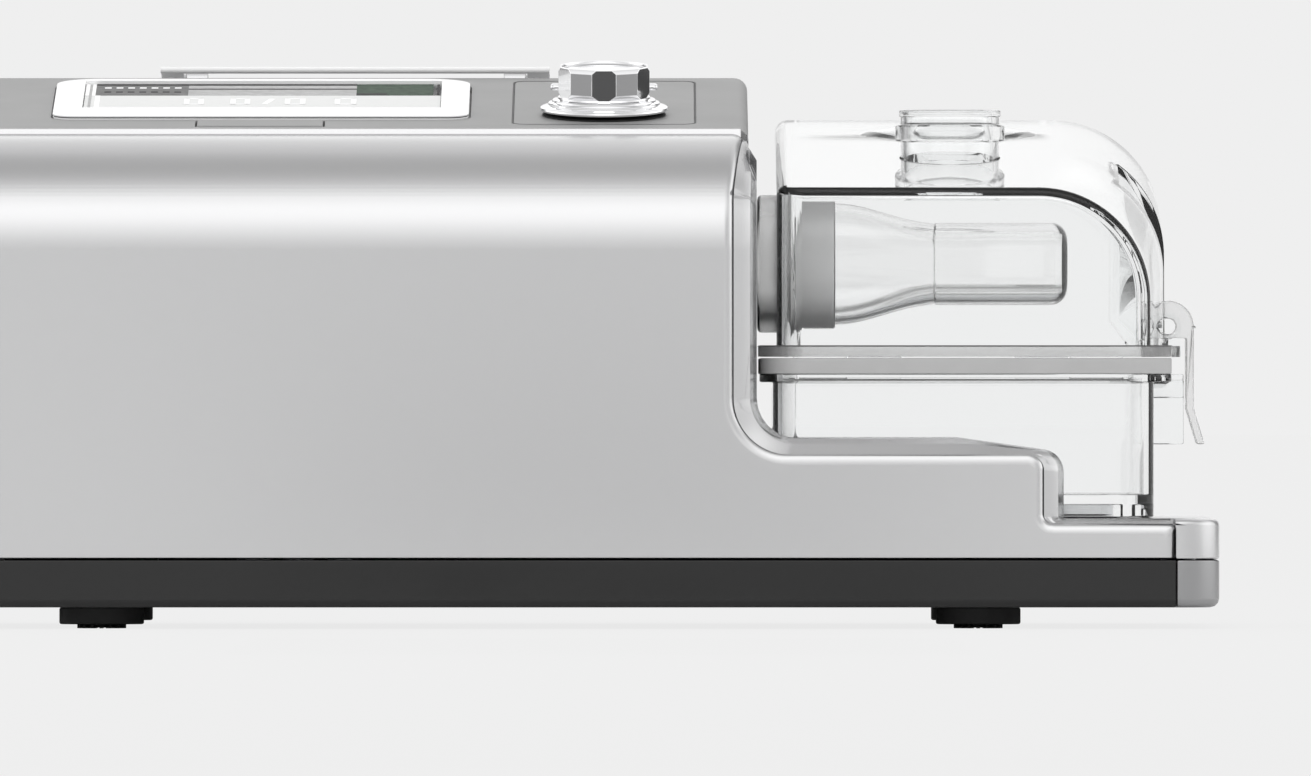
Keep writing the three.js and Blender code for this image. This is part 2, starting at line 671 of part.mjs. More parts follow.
function upperShell() {
  const tall = common(
    alongY(shellOutline(0, SPLIT_Z), FRONT_Y, BACK_Y, EDGE_ROUND),
    alongX(sideProfile(0, SPLIT_Z - 1), -FAR, FAR));
  const slab = upright(planOutline(0), SPLIT_Z - 5, BASE_TOP_Z, 1.5);
  const outer = common(join(tall, slab), upright(planOutline(0), SPLIT_Z, FAR));
  const hollow = common(
    alongY(shellOutline(WALL, SPLIT_Z - 1), FRONT_Y, BACK_Y),
    alongX(sideProfile(FASCIA_THICKNESS + CLEAR + WALL, SPLIT_Z - 2, WALL), -FAR, FAR));
  const underSlab = upright(planOutline(WALL, FASCIA_THICKNESS + CLEAR + WALL),
    SPLIT_Z - 1, SLAB_UNDER_Z);
  const wellBlock = block(BODY_RIGHT - WALL, FAR, TANK_FRONT - WELL_GAP - WALL,
    TANK_BACK + WELL_GAP + WALL, SLAB_UNDER_Z, FAR);
  const well = block(BODY_RIGHT, FAR, TANK_FRONT - WELL_GAP, TANK_BACK + WELL_GAP, BASE_TOP_Z, FAR);
  const deckRoom = onDeck(rectangle(-FAR, FAR, -DECK_SKIRT - CLEAR, FAR), -CLEAR, DECK_LENGTH + CLEAR);
  let shell = cut(outer, cut(join(hollow, underSlab), wellBlock), well, deckRoom,
    frontBand(FASCIA_THICKNESS + CLEAR, CLEAR, -CLEAR));
  const lugs = handleLugs();
  const bosses = screwsAt.map(([x, y]) => rod(BOSS_RADIUS, SPLIT_Z, SLAB_UNDER_Z + 1, x, y, 16));
  shell = join(shell, ...lugs, ...bosses);
  for (const [x, y] of screwsAt) {
    shell = cut(shell, rod(SCREW_RADIUS + CLEAR, SPLIT_Z - 1, SLAB_UNDER_Z + 0.5, x, y, 12));
  }
  return cut(shell,
    upright(heaterOutline(CLEAR), SPLIT_Z, FAR),
    rodAlongX(SEAL_BORE, BODY_RIGHT - WALL - 1, BODY_RIGHT + 1, TANK_MID_Y, DUCT_Z),
    block(filterX0, filterX1, BACK_Y - WALL - 1, BACK_Y + 1, FILTER_Z, filterZ1),
    rodAlongX(DOOR_PIN_RADIUS + 0.3, filterX0 - 4.3, filterX1 + 4.3, doorAxisY, doorAxisZ, 10),
    block(inletX - INLET_WIDTH / 2 - CLEAR, inletX + INLET_WIDTH / 2 + CLEAR,
      BACK_Y - WALL - 1, BACK_Y + 1, INLET_Z - CLEAR, INLET_Z + INLET_HEIGHT + CLEAR));
}

// Ears that carry the handle pins, inside the handle's two legs
function handleLugs() {
  return [-1, 1].map((side) => {
    const near = BODY_MID + side * (HANDLE_WIDTH / 2 - HANDLE_LEG - CLEAR);
    const far = near - side * HANDLE_LEG;
    const ear = join(
      rodAlongX(HANDLE_EYE_RADIUS, Math.min(near, far), Math.max(near, far),
        HANDLE_PIVOT_Y, HANDLE_PIVOT_Z, 16),
      block(Math.min(near, far), Math.max(near, far), HANDLE_PIVOT_Y - HANDLE_EYE_RADIUS,
        HANDLE_PIVOT_Y + HANDLE_EYE_RADIUS, REAR_TOP_Z - 3, HANDLE_PIVOT_Z));
    return cut(ear, rodAlongX(HANDLE_PIN_RADIUS + CLEAR, Math.min(near, far) - 1,
      Math.max(near, far) + 1, HANDLE_PIVOT_Y, HANDLE_PIVOT_Z, 12));
  });
}

function deckPanel() {
  const outer = extruded(deckCapOutline(0, 0), DECK_LENGTH);
  const inner = extruded(rectangle(DECK_LEFT + 2.5, DECK_RIGHT - 2.5, -FAR, -DECK_THICKNESS),
    DECK_LENGTH + 2).translate(0, 0, -1);
  const lay = (geometry) => toSolid(geometry.rotateX(Math.PI / 2).translate(0, DECK_LENGTH, 0));
  const rebate = upright(bezelOutline(CLEAR), -BEZEL_REBATE, 5);
  const moduleRoom = block(DISPLAY_X - WINDOW_WIDTH / 2 - 2, DISPLAY_X + WINDOW_WIDTH / 2 + 2,
    WINDOW_FROM_FRONT - 2, WINDOW_FROM_FRONT + WINDOW_LENGTH + 2, -FAR, 5);
  const insetRoom = upright(insetOutline(CLEAR), -INSET_THICKNESS - 0.05, 5);
  const underInset = upright(insetOutline(-INSET_LEDGE), -FAR, 5);
  const buttonRoom = upright(buttonOutline(CLEAR), -FAR, 5);
  const posts = boardPostsAt.map(([x, y]) => rod(BOARD_POST_RADIUS, -BOARD_DROP, -DECK_THICKNESS + 1, x, y, 12));
  return cut(join(cut(lay(outer), lay(inner)), ...posts),
    rebate, moduleRoom, insetRoom, underInset, buttonRoom);
}

const boardPostsAt = [
  [DISPLAY_X - WINDOW_WIDTH / 2 - 6, 8],
  [DISPLAY_X - WINDOW_WIDTH / 2 - 6, DECK_LENGTH - 12],
  [KNOB_X + BOARD_POST_FROM_KNOB, 8],
  [KNOB_X + BOARD_POST_FROM_KNOB, DECK_LENGTH - 12],
];

function insetOutline(grow) {
  return rectangle(KNOB_X - INSET_WIDTH / 2 - grow, KNOB_X + INSET_WIDTH / 2 + grow,
    INSET_FROM_FRONT - grow, INSET_FROM_FRONT + INSET_LENGTH + grow, INSET_CORNER + grow);
}

function buttonOutline(grow, steps = ARC_STEPS) {
  return rectangle(DISPLAY_X - BUTTON_WIDTH / 2 - grow, DISPLAY_X + BUTTON_WIDTH / 2 + grow,
    BUTTON_FROM_FRONT - grow, BUTTON_FROM_FRONT + BUTTON_LENGTH + grow, 1 + grow, steps);
}

function bezelOutline(grow) {
  const [x0, x1] = [DISPLAY_X - BEZEL_WIDTH / 2 - grow, DISPLAY_X + BEZEL_WIDTH / 2 + grow];
  const [y0, y1] = [BEZEL_FROM_FRONT - grow, BEZEL_FROM_FRONT + BEZEL_LENGTH + grow];
  return outline([
    [x0, y0, DISPLAY_CORNER + grow],
    [x1, y0, DISPLAY_CORNER + grow],
    [x1, y1, DISPLAY_BACK_CORNER + grow],
    [x0, y1, DISPLAY_BACK_CORNER + grow],
  ]);
}

function displayBezel() {
  const frame = upright(bezelOutline(0), -BEZEL_REBATE + 0.05, BEZEL_HEIGHT);
  const opening = block(DISPLAY_X - WINDOW_WIDTH / 2 - CLEAR, DISPLAY_X + WINDOW_WIDTH / 2 + CLEAR,
    WINDOW_FROM_FRONT - CLEAR, WINDOW_FROM_FRONT + WINDOW_LENGTH + CLEAR, -5, 5);
  return cut(frame, opening);
}

function displayWindow() {
  return block(DISPLAY_X - WINDOW_WIDTH / 2, DISPLAY_X + WINDOW_WIDTH / 2, WINDOW_FROM_FRONT,
    WINDOW_FROM_FRONT + WINDOW_LENGTH, -WINDOW_THICKNESS, 0);
}

function displayModule() {
  return block(DISPLAY_X - WINDOW_WIDTH / 2 - 1.5, DISPLAY_X + WINDOW_WIDTH / 2 + 1.5,
    WINDOW_FROM_FRONT - 1.5, WINDOW_FROM_FRONT + WINDOW_LENGTH + 1.5,
    -BOARD_DROP + CLEAR, -BEZEL_REBATE - 0.05);
}

function displayButton() {
  return join(
    upright(buttonOutline(0, 3), -BUTTON_THICKNESS, 0.2, 0.4),
    rod(1.5, -BOARD_DROP + 1.6, -BUTTON_THICKNESS + 0.5, DISPLAY_X, BUTTON_FROM_FRONT + BUTTON_LENGTH / 2, 12));
}

function controlBoard() {
  const edge = 5;
  const board = block(boardPostsAt[0][0] - edge, boardPostsAt[2][0] + edge, BUTTON_FROM_FRONT,
    DECK_LENGTH - 12 + edge, -BOARD_DROP - BOARD_THICKNESS, -BOARD_DROP);
  const chips = [[-6, 30, 22], [-6, 60, 12]].map(([x, y, size]) => block(
    KNOB_X - BOARD_CHIP_FROM_KNOB + x - size / 2, KNOB_X - BOARD_CHIP_FROM_KNOB + x + size / 2, y, y + size,
    -BOARD_DROP - BOARD_THICKNESS - 2, -BOARD_DROP - 0.5));
  return join(board, ...chips);
}

function knobInset() {
  return cut(upright(insetOutline(0), -INSET_THICKNESS, 0),
    rod(SLEEVE_RADIUS + CLEAR, -5, 5, KNOB_X, KNOB_FROM_FRONT));
}

function knobRing() {
  return upTurned([[SLEEVE_RADIUS + CLEAR, 0.05], [KNOB_SKIRT_RADIUS - 1, 0.05],
    [KNOB_SKIRT_RADIUS - 1, 0.3], [SLEEVE_RADIUS + CLEAR, 0.3]], KNOB_X, KNOB_FROM_FRONT, 36);
}

// Chrome knob: a bell skirt with two fine steps under a twelve-sided grip
function knob() {
  const grip = KNOB_GRIP_RADIUS / Math.cos(Math.PI / KNOB_SIDES);
  const skirt = upTurned([
    [0, KNOB_BASE],
    [KNOB_SKIRT_RADIUS - 0.5, KNOB_BASE],
    [KNOB_SKIRT_RADIUS, KNOB_BASE + 0.5],
    [KNOB_SKIRT_RADIUS - 0.3, KNOB_BASE + 1.1],
    [KNOB_GRIP_RADIUS + 2.3, KNOB_BASE + 1.8],
    [KNOB_GRIP_RADIUS + 1.4, KNOB_BASE + 2.1],
    [KNOB_GRIP_RADIUS + 1.3, KNOB_BASE + 2.5],
    [KNOB_GRIP_RADIUS + 0.4, KNOB_BASE + 2.9],
    [KNOB_GRIP_RADIUS - 0.1, KNOB_GRIP_BASE + 0.5],
    [0, KNOB_GRIP_BASE + 0.5],
  ], KNOB_X, KNOB_FROM_FRONT, 48);
  const prism = upright(circle(KNOB_X, KNOB_FROM_FRONT, grip, KNOB_SIDES), KNOB_GRIP_BASE, KNOB_HEIGHT);
  const chamfers = upTurned([
    [0, KNOB_GRIP_BASE - 1],
    [grip - KNOB_CHAMFER, KNOB_GRIP_BASE - 1],
    [grip - KNOB_CHAMFER, KNOB_GRIP_BASE],
    [grip, KNOB_GRIP_BASE + KNOB_CHAMFER],
    [grip, KNOB_HEIGHT - KNOB_CHAMFER],
    [grip - KNOB_CHAMFER, KNOB_HEIGHT],
    [0, KNOB_HEIGHT],
  ], KNOB_X, KNOB_FROM_FRONT, 48);
  return cut(join(skirt, common(prism, chamfers)),
    rod(SHAFT_RADIUS + CLEAR, -1, KNOB_HEIGHT - 3, KNOB_X, KNOB_FROM_FRONT));
}

function knobShaft() {
  return rod(SHAFT_RADIUS, -BOARD_DROP + SHAFT_RISE, KNOB_HEIGHT - 3 - CLEAR, KNOB_X, KNOB_FROM_FRONT);
}

function encoderSleeve() {
  const low = -BOARD_DROP + KNOB_TRAVEL + SLEEVE_RISE;
  return upTurned([[SHAFT_RADIUS + CLEAR, low], [SLEEVE_RADIUS, low],
    [SLEEVE_RADIUS, KNOB_BASE - CLEAR], [SHAFT_RADIUS + CLEAR, KNOB_BASE - CLEAR]], KNOB_X, KNOB_FROM_FRONT);
}

function encoderBody() {
  return cut(
    block(KNOB_X - ENCODER_SIZE / 2, KNOB_X + ENCODER_SIZE / 2, KNOB_FROM_FRONT - ENCODER_SIZE / 2,
      KNOB_FROM_FRONT + ENCODER_SIZE / 2, -BOARD_DROP + CLEAR, -DECK_THICKNESS - CLEAR),
    rod(SLEEVE_RADIUS + CLEAR, -FAR, 5, KNOB_X, KNOB_FROM_FRONT));
}

function foot() {
  return toSolid(turned([[0, 0], [FOOT_STEP_RADIUS, 0], [FOOT_STEP_RADIUS, FOOT_STEP],
    [FOOT_RADIUS - 0.3, FOOT_STEP], [FOOT_RADIUS, FOOT_STEP + 0.3], [FOOT_RADIUS, FOOT_HEIGHT - 0.6],
    [FOOT_RADIUS - 0.5, FOOT_HEIGHT], [0, FOOT_HEIGHT]], 20));
}

function baseScrew() {
  const under = FOOT_HEIGHT + SCREW_HEAD;
  const tip = FOOT_HEIGHT + SCREW_LENGTH;
  return cut(toSolid(turned([[0, FOOT_HEIGHT + 0.4], [SCREW_HEAD_RADIUS, FOOT_HEIGHT + 0.4],
    [SCREW_HEAD_RADIUS, under], [SCREW_RADIUS, under], [SCREW_RADIUS, tip], [0, tip]], 16)),
  block(-2, 2, -0.4, 0.4, 0, FOOT_HEIGHT + 1), block(-0.4, 0.4, -2, 2, 0, FOOT_HEIGHT + 1));
}

function carryHandle() {
  const x0 = BODY_MID - HANDLE_WIDTH / 2;
  const x1 = BODY_MID + HANDLE_WIDTH / 2;
  const bar = alongX(outline([
    [HANDLE_BAR_Y, HANDLE_BAR_Z, 0.6],
    [HANDLE_BAR_Y + HANDLE_STRAP, HANDLE_BAR_Z, 0.6],
    [HANDLE_BAR_Y + HANDLE_STRAP, HANDLE_BAR_Z + HANDLE_THICKNESS, 0.6],
    [HANDLE_BAR_Y, HANDLE_BAR_Z + HANDLE_THICKNESS, 0.6],
  ], 3), x0, x1);
  const legOutline = [
    new THREE.Vector2(HANDLE_BAR_Y + HANDLE_STRAP - 2, HANDLE_BAR_Z + 0.1),
    new THREE.Vector2(HANDLE_PIVOT_Y, HANDLE_PIVOT_Z - 0.9),
    new THREE.Vector2(HANDLE_PIVOT_Y, HANDLE_PIVOT_Z + 0.9),
    new THREE.Vector2(HANDLE_BAR_Y + HANDLE_STRAP - 2, HANDLE_BAR_Z + HANDLE_THICKNESS - 0.1),
  ];
  const leg = (from) => join(alongX(legOutline, from, from + HANDLE_LEG),
    rodAlongX(HANDLE_EYE_RADIUS, from, from + HANDLE_LEG, HANDLE_PIVOT_Y, HANDLE_PIVOT_Z, 16));
  return cut(join(bar, leg(x0), leg(x1 - HANDLE_LEG)),
    rodAlongX(HANDLE_PIN_RADIUS + CLEAR, x0 - 1, x1 + 1, HANDLE_PIVOT_Y, HANDLE_PIVOT_Z, 12));
}

function handlePin(side) {
  const outer = BODY_MID + side * (HANDLE_WIDTH / 2 - 0.5);
  const inner = BODY_MID + side * (HANDLE_WIDTH / 2 - 2 * HANDLE_LEG);
  return rodAlongX(HANDLE_PIN_RADIUS, Math.min(outer, inner), Math.max(outer, inner),
    HANDLE_PIVOT_Y, HANDLE_PIVOT_Z, 12);
}

function filterDoor() {
  const [x0, x1] = [filterX0 + CLEAR, filterX1 - CLEAR];
  const [y0, y1] = [doorAxisY - DOOR_THICKNESS / 2, doorAxisY + DOOR_THICKNESS / 2];
  const top = filterZ1 - CLEAR;
  const panel = join(block(x0, x1, y0, y1, doorAxisZ, top),
    rodAlongX(DOOR_THICKNESS / 2, x0, x1, doorAxisY, doorAxisZ, 12));
  const pitch = (top - doorAxisZ - 2 * DOOR_FRAME) / DOOR_SLATS;
  const slots = Array.from({ length: DOOR_SLATS }, (_, i) => block(
    x0 + DOOR_FRAME, x1 - DOOR_FRAME, y0 - 1, y1 + 1,
    doorAxisZ + DOOR_FRAME + (i + 0.25) * pitch, doorAxisZ + DOOR_FRAME + (i + 0.75) * pitch));
  return cut(panel, ...slots,
    rodAlongX(DOOR_PIN_RADIUS + 0.3, x0 - 1, x1 + 1, doorAxisY, doorAxisZ, 10));
}

function filterDoorPin() {
  return rodAlongX(DOOR_PIN_RADIUS, filterX0 - 4, filterX1 + 4, doorAxisY, doorAxisZ, 10);
}

function filterFrame() {
  const back = BACK_Y - WALL - CLEAR;
  const front = back - FILTER_THICKNESS - 1;
  return cut(block(filterX0 - 3, filterX1 + 3, front, back, FILTER_Z - 3, filterZ1 + 3),
    block(filterX0, filterX1, front + 2, back + 1, FILTER_Z, filterZ1),
    block(filterX0 + 3, filterX1 - 3, front - 1, back, FILTER_Z + 3, filterZ1 - 3));
}

function airFilter() {
  const back = BACK_Y - WALL - CLEAR;
  return block(filterX0 + CLEAR, filterX1 - CLEAR, back - FILTER_THICKNESS + 1 + CLEAR, back,
    FILTER_Z + CLEAR, filterZ1 - CLEAR);
}

function powerInlet() {
  const back = BACK_Y - 0.4;
  const body = join(
    block(inletX - INLET_WIDTH / 2, inletX + INLET_WIDTH / 2, back - INLET_DEPTH, back,
      INLET_Z, INLET_Z + INLET_HEIGHT),
    block(inletX - INLET_WIDTH / 2 - 2, inletX + INLET_WIDTH / 2 + 2, back - INLET_DEPTH,
      BACK_Y - WALL - CLEAR, INLET_Z - 2, INLET_Z + INLET_HEIGHT + 2));
  const mid = INLET_Z + INLET_HEIGHT / 2;
  const socket = block(inletX - SOCKET_WIDTH / 2, inletX + SOCKET_WIDTH / 2, back - SOCKET_DEPTH,
    back + 1, mid - SOCKET_HEIGHT / 2, mid + SOCKET_HEIGHT / 2);
  return cut(body, socket);
}

function mainBoard() {
  const z = FLOOR_Z + STANDOFF;
  const chips = [[0.18, 0.42, 1.25, 1.2], [0.44, 0.48, 1, 0.6], [0.65, 0.28, 0.7, 1.4], [0.85, 0.45, 1.1, 0.8]]
    .map(([along, across, size, height]) => {
      const x = boardX0 + along * MAIN_BOARD_LENGTH;
      const y = boardY0 + across * MAIN_BOARD_DEPTH;
      const half = (size * CHIP_SIZE) / 2;
      return block(x - half, x + half, y - half, y + half, z + BOARD_THICKNESS / 2,
        z + BOARD_THICKNESS + height * CHIP_HEIGHT);
    });
  return join(block(boardX0, boardX1, boardY0, boardY1, z, z + BOARD_THICKNESS), ...chips);
}

function innerChassis() {
  const plate = block(BLOWER_X - CHASSIS_HALF_X, BLOWER_X + CHASSIS_HALF_X,
    BLOWER_Y - CHASSIS_HALF_Y, BLOWER_Y + CHASSIS_HALF_Y, CHASSIS_Z - CHASSIS_THICKNESS, CHASSIS_Z);
  const legs = [[-1, -1], [1, -1], [-1, 1], [1, 1]].map(([sx, sy]) => {
    const x = BLOWER_X + sx * (CHASSIS_HALF_X - CHASSIS_LEG / 2);
    const y = BLOWER_Y + sy * (CHASSIS_HALF_Y - CHASSIS_LEG / 2);
    return block(x - CHASSIS_LEG / 2, x + CHASSIS_LEG / 2, y - CHASSIS_LEG / 2, y + CHASSIS_LEG / 2,
      FLOOR_Z, CHASSIS_Z - 1);
  });
  return cut(join(plate, ...legs), rod(MOTOR_RADIUS + 3, 0, FAR, BLOWER_X, BLOWER_Y));
}

function blowerMount() {
  return upTurned([[MOTOR_RADIUS + 3, CHASSIS_Z], [MOTOR_RADIUS + 9, CHASSIS_Z],
    [MOTOR_RADIUS + 9, VOLUTE_Z], [MOTOR_RADIUS + 3, VOLUTE_Z]], BLOWER_X, BLOWER_Y);
}

const voluteExit = BLOWER_X + VOLUTE_RADIUS + 2;
const voluteChannel = OUTLET_DUCT_RADIUS + 0.5;

function blowerHousing() {
  const top = VOLUTE_Z + VOLUTE_HEIGHT;
  const outer = join(
    rod(VOLUTE_RADIUS, VOLUTE_Z, top, BLOWER_X, BLOWER_Y, 36),
    block(BLOWER_X, voluteExit, TANK_MID_Y - voluteChannel - VOLUTE_WALL,
      TANK_MID_Y + voluteChannel + VOLUTE_WALL, VOLUTE_Z, top));
  const inner = join(
    rod(VOLUTE_RADIUS - VOLUTE_WALL, VOLUTE_Z + VOLUTE_WALL, top + 1, BLOWER_X, BLOWER_Y, 36),
    rodAlongX(voluteChannel, BLOWER_X, FAR, TANK_MID_Y, DUCT_Z));
  return cut(outer, inner, rod(MOTOR_SHAFT_RADIUS + 2, 0, FAR, BLOWER_X, BLOWER_Y));
}

function blowerCover() {
  const z = VOLUTE_Z + VOLUTE_HEIGHT;
  return upTurned([[VOLUTE_INLET, z], [VOLUTE_RADIUS, z], [VOLUTE_RADIUS, z + VOLUTE_COVER - 1],
    [VOLUTE_INLET + 2, z + VOLUTE_COVER], [VOLUTE_INLET + 2, z + VOLUTE_COVER + 3],
    [VOLUTE_INLET, z + VOLUTE_COVER + 3]], BLOWER_X, BLOWER_Y, 36);
}

function impeller() {
  const z = VOLUTE_Z + VOLUTE_WALL + 2.5;
  const disc = upTurned([[0, z], [IMPELLER_RADIUS, z], [IMPELLER_RADIUS, z + 1.5], [8, z + 3],
    [5, z + IMPELLER_HEIGHT], [0, z + IMPELLER_HEIGHT]], BLOWER_X, BLOWER_Y, 36);
  const blades = Array.from({ length: IMPELLER_BLADES }, (_, i) => {
    const geometry = new THREE.BoxGeometry(IMPELLER_RADIUS - 8, 1.2, IMPELLER_HEIGHT - 2)
      .translate((IMPELLER_RADIUS + 6) / 2, 3, z + IMPELLER_HEIGHT / 2)
      .rotateZ((i * 2 * Math.PI) / IMPELLER_BLADES)
      .translate(BLOWER_X, BLOWER_Y, 0);
    return toSolid(geometry);
  });
  return cut(join(disc, ...blades),
    rod(MOTOR_SHAFT_RADIUS + 0.3, 0, z + IMPELLER_HEIGHT - 2, BLOWER_X, BLOWER_Y));
}

function impellerShaft() {
  const top = VOLUTE_Z + VOLUTE_WALL + 2.5 + IMPELLER_HEIGHT - 2.3;
  return rod(MOTOR_SHAFT_RADIUS, VOLUTE_Z - 8, top, BLOWER_X, BLOWER_Y);
}

function blowerMotor() {
  return cut(rod(MOTOR_RADIUS, VOLUTE_Z - MOTOR_HEIGHT, VOLUTE_Z, BLOWER_X, BLOWER_Y),
    rod(MOTOR_SHAFT_RADIUS + CLEAR, VOLUTE_Z - 8 - CLEAR, FAR, BLOWER_X, BLOWER_Y));
}

function outletDuct() {
  return cut(
    rodAlongX(OUTLET_DUCT_RADIUS, voluteExit - 8, BODY_RIGHT - 0.5, TANK_MID_Y, DUCT_Z),
    rodAlongX(OUTLET_DUCT_RADIUS - OUTLET_DUCT_WALL, 0 - FAR, FAR, TANK_MID_Y, DUCT_Z));
}

function heaterPlate() {
  return upright(heaterOutline(0), SLAB_UNDER_Z, BASE_TOP_Z);
}

function heaterCarrier() {
  const plate = upright(heaterOutline(HEATER_LIP), SLAB_UNDER_Z - HEATER_CARRIER, SLAB_UNDER_Z);
  const relief = upright(heaterOutline(-HEATER_LIP), SLAB_UNDER_Z - HEATER_CARRIER + 1.5, SLAB_UNDER_Z + 1);
  return cut(plate, relief, rod(3, 0, FAR, heater.x0 + 12, TANK_MID_Y, 12));
}

function tankPlan(grow, growRight = grow) {
  return rectangle(TANK_LEFT - grow, TANK_RIGHT + growRight, TANK_FRONT - grow, TANK_BACK + grow,
    TANK_CORNER + grow);
}

function platePlan(grow) {
  return rectangle(TANK_LEFT + PLATE_MARGIN - grow, TANK_RIGHT - PLATE_MARGIN + grow,
    TANK_FRONT + PLATE_MARGIN - grow, TANK_BACK - PLATE_MARGIN + grow, TANK_CORNER);
}

// Knuckles of one hinge leaf: their spans along X, outside for the tub, inside for the lid
function knuckleSpans(inside) {
  return [-1, 1].map((side) => {
    const seam = TANK_MID_X + side * HINGE_SPREAD;
    const spans = [[seam, seam + side * KNUCKLE_LENGTH], [seam - side * (KNUCKLE_LENGTH + CLEAR), seam - side * CLEAR]];
    return spans[inside ? 1 : 0].slice().sort((a, b) => a - b);
  });
}

function withKnuckles(solid, inside, z0, z1) {
  const pieces = knuckleSpans(inside).flatMap(([x0, x1]) => [
    rodAlongX(HINGE_RADIUS, x0, x1, HINGE_Y, HINGE_Z, 16),
    block(x0, x1, TANK_BACK, HINGE_Y, z0, z1),
  ]);
  return cut(join(solid, ...pieces),
    rodAlongX(HINGE_PIN_RADIUS + CLEAR, -FAR, FAR, HINGE_Y, HINGE_Z, 12));
}

function tankTub() {
  const flangeZ = TUB_TOP_Z - FLANGE;
  const walls = join(upright(tankPlan(0), TANK_Z, TUB_TOP_Z),
    upright(tankPlan(FLANGE_OUT, FLANGE_OUT_RIGHT), flangeZ, TUB_TOP_Z),
    block(TANK_RIGHT - 1, KEEPER_RIGHT, TANK_MID_Y - 6, TANK_MID_Y + 6, flangeZ - KEEPER_HEIGHT, TUB_TOP_Z),
    block(TANK_RIGHT - 1, KEEPER_RIGHT, TANK_MID_Y - EAR_Y - LATCH_EAR, TANK_MID_Y - EAR_Y,
      flangeZ - GUARD_DROP, flangeZ + 0.5),
    block(TANK_RIGHT - 1, KEEPER_RIGHT, TANK_MID_Y + EAR_Y, TANK_MID_Y + EAR_Y + LATCH_EAR,
      flangeZ - GUARD_DROP, flangeZ + 0.5));
  const inside = upright(tankPlan(-TANK_WALL), TUB_FLOOR_Z, FAR);
  const recess = upright(platePlan(CLEAR), 0, PLATE_TOP_Z + CLEAR);
  return withKnuckles(cut(walls, inside, recess), false, flangeZ, TUB_TOP_Z);
}

function tankBasePlate() {
  return upright(platePlan(0), PLATE_TOP_Z - PLATE_THICKNESS, PLATE_TOP_Z);
}

function tankSeal() {
  return cut(upright(tankPlan(FLANGE_OUT, FLANGE_OUT_RIGHT), TUB_TOP_Z, SEAL_TOP_Z),
    upright(tankPlan(-TANK_WALL), 0, FAR));
}

// Front view of the lid at one depth, drawn in by an inset
function lidSection(y, inset, bottom) {
  const bulge = LID_BULGE * THREE.MathUtils.smoothstep(y, TANK_FRONT, TANK_MID_Y);
  const top = LID_FRONT_Z + (y - TANK_FRONT) * LID_RISE - inset;
  const right = LID_RIGHT + bulge - inset;
  return outline([
    [LID_LEFT + inset, bottom],
    [right, bottom],
    [right, top, LID_CORNER - inset],
    [LID_LEFT + inset, top, Math.max(LID_SMALL_CORNER - inset, 0.3)],
  ]).map((p) => new THREE.Vector3(p.x, y, p.y));
}

function lidHull(inset, bottom) {
  const front = TANK_FRONT + inset;
  const back = TANK_BACK - inset;
  const round = LID_EDGE_ROUND;
  const stops = [[0, 1], [0.3, 0.3], [1, 0]];
  const rings = [
    ...stops.map(([share, draw]) => lidSection(front + share * round, inset + draw * round, bottom)),
    ...[0.25, 0.5, 0.75].map((share) => lidSection(front + share * (back - front), inset, bottom)),
    ...stops.slice().reverse().map(([share, draw]) => lidSection(back - share * round, inset + draw * round, bottom)),
  ];
  const plan = rectangle(LID_LEFT + inset, LID_RIGHT + LID_BULGE - inset, front, back, TANK_CORNER - inset);
  return common(lofted(rings), upright(plan, bottom, FAR));
}

// Finger room behind the latch: a pocket in the right wall with a sloped floor
function latchPocket(grow) {
  const face = LID_RIGHT + LID_BULGE - POCKET_DEPTH - 2.2 - grow;
  const half = POCKET_WIDTH / 2 + grow;
  return alongY([
    new THREE.Vector2(face, FAR),
    new THREE.Vector2(face, LID_FLANGE_TOP + POCKET_SLOPE),
    new THREE.Vector2(face + POCKET_SLOPE, LID_FLANGE_TOP - grow),
    new THREE.Vector2(FAR, LID_FLANGE_TOP - grow),
    new THREE.Vector2(FAR, FAR),
  ], TANK_MID_Y - half, TANK_MID_Y + half);
}

function latchEars() {
  return [-1, 1].map((side) => {
    const y0 = TANK_MID_Y + (side < 0 ? -EAR_Y - LATCH_EAR : EAR_Y);
    const out = LATCH_X + 2.8;
    return alongY(outline([
      [LATCH_X - 4, LID_Z],
      [out, LID_Z],
      [out, LATCH_Z + 3, 2.5],
      [LATCH_X - 4, LATCH_Z + 3, 2.5],
    ], 4), y0, y0 + LATCH_EAR);
  });
}

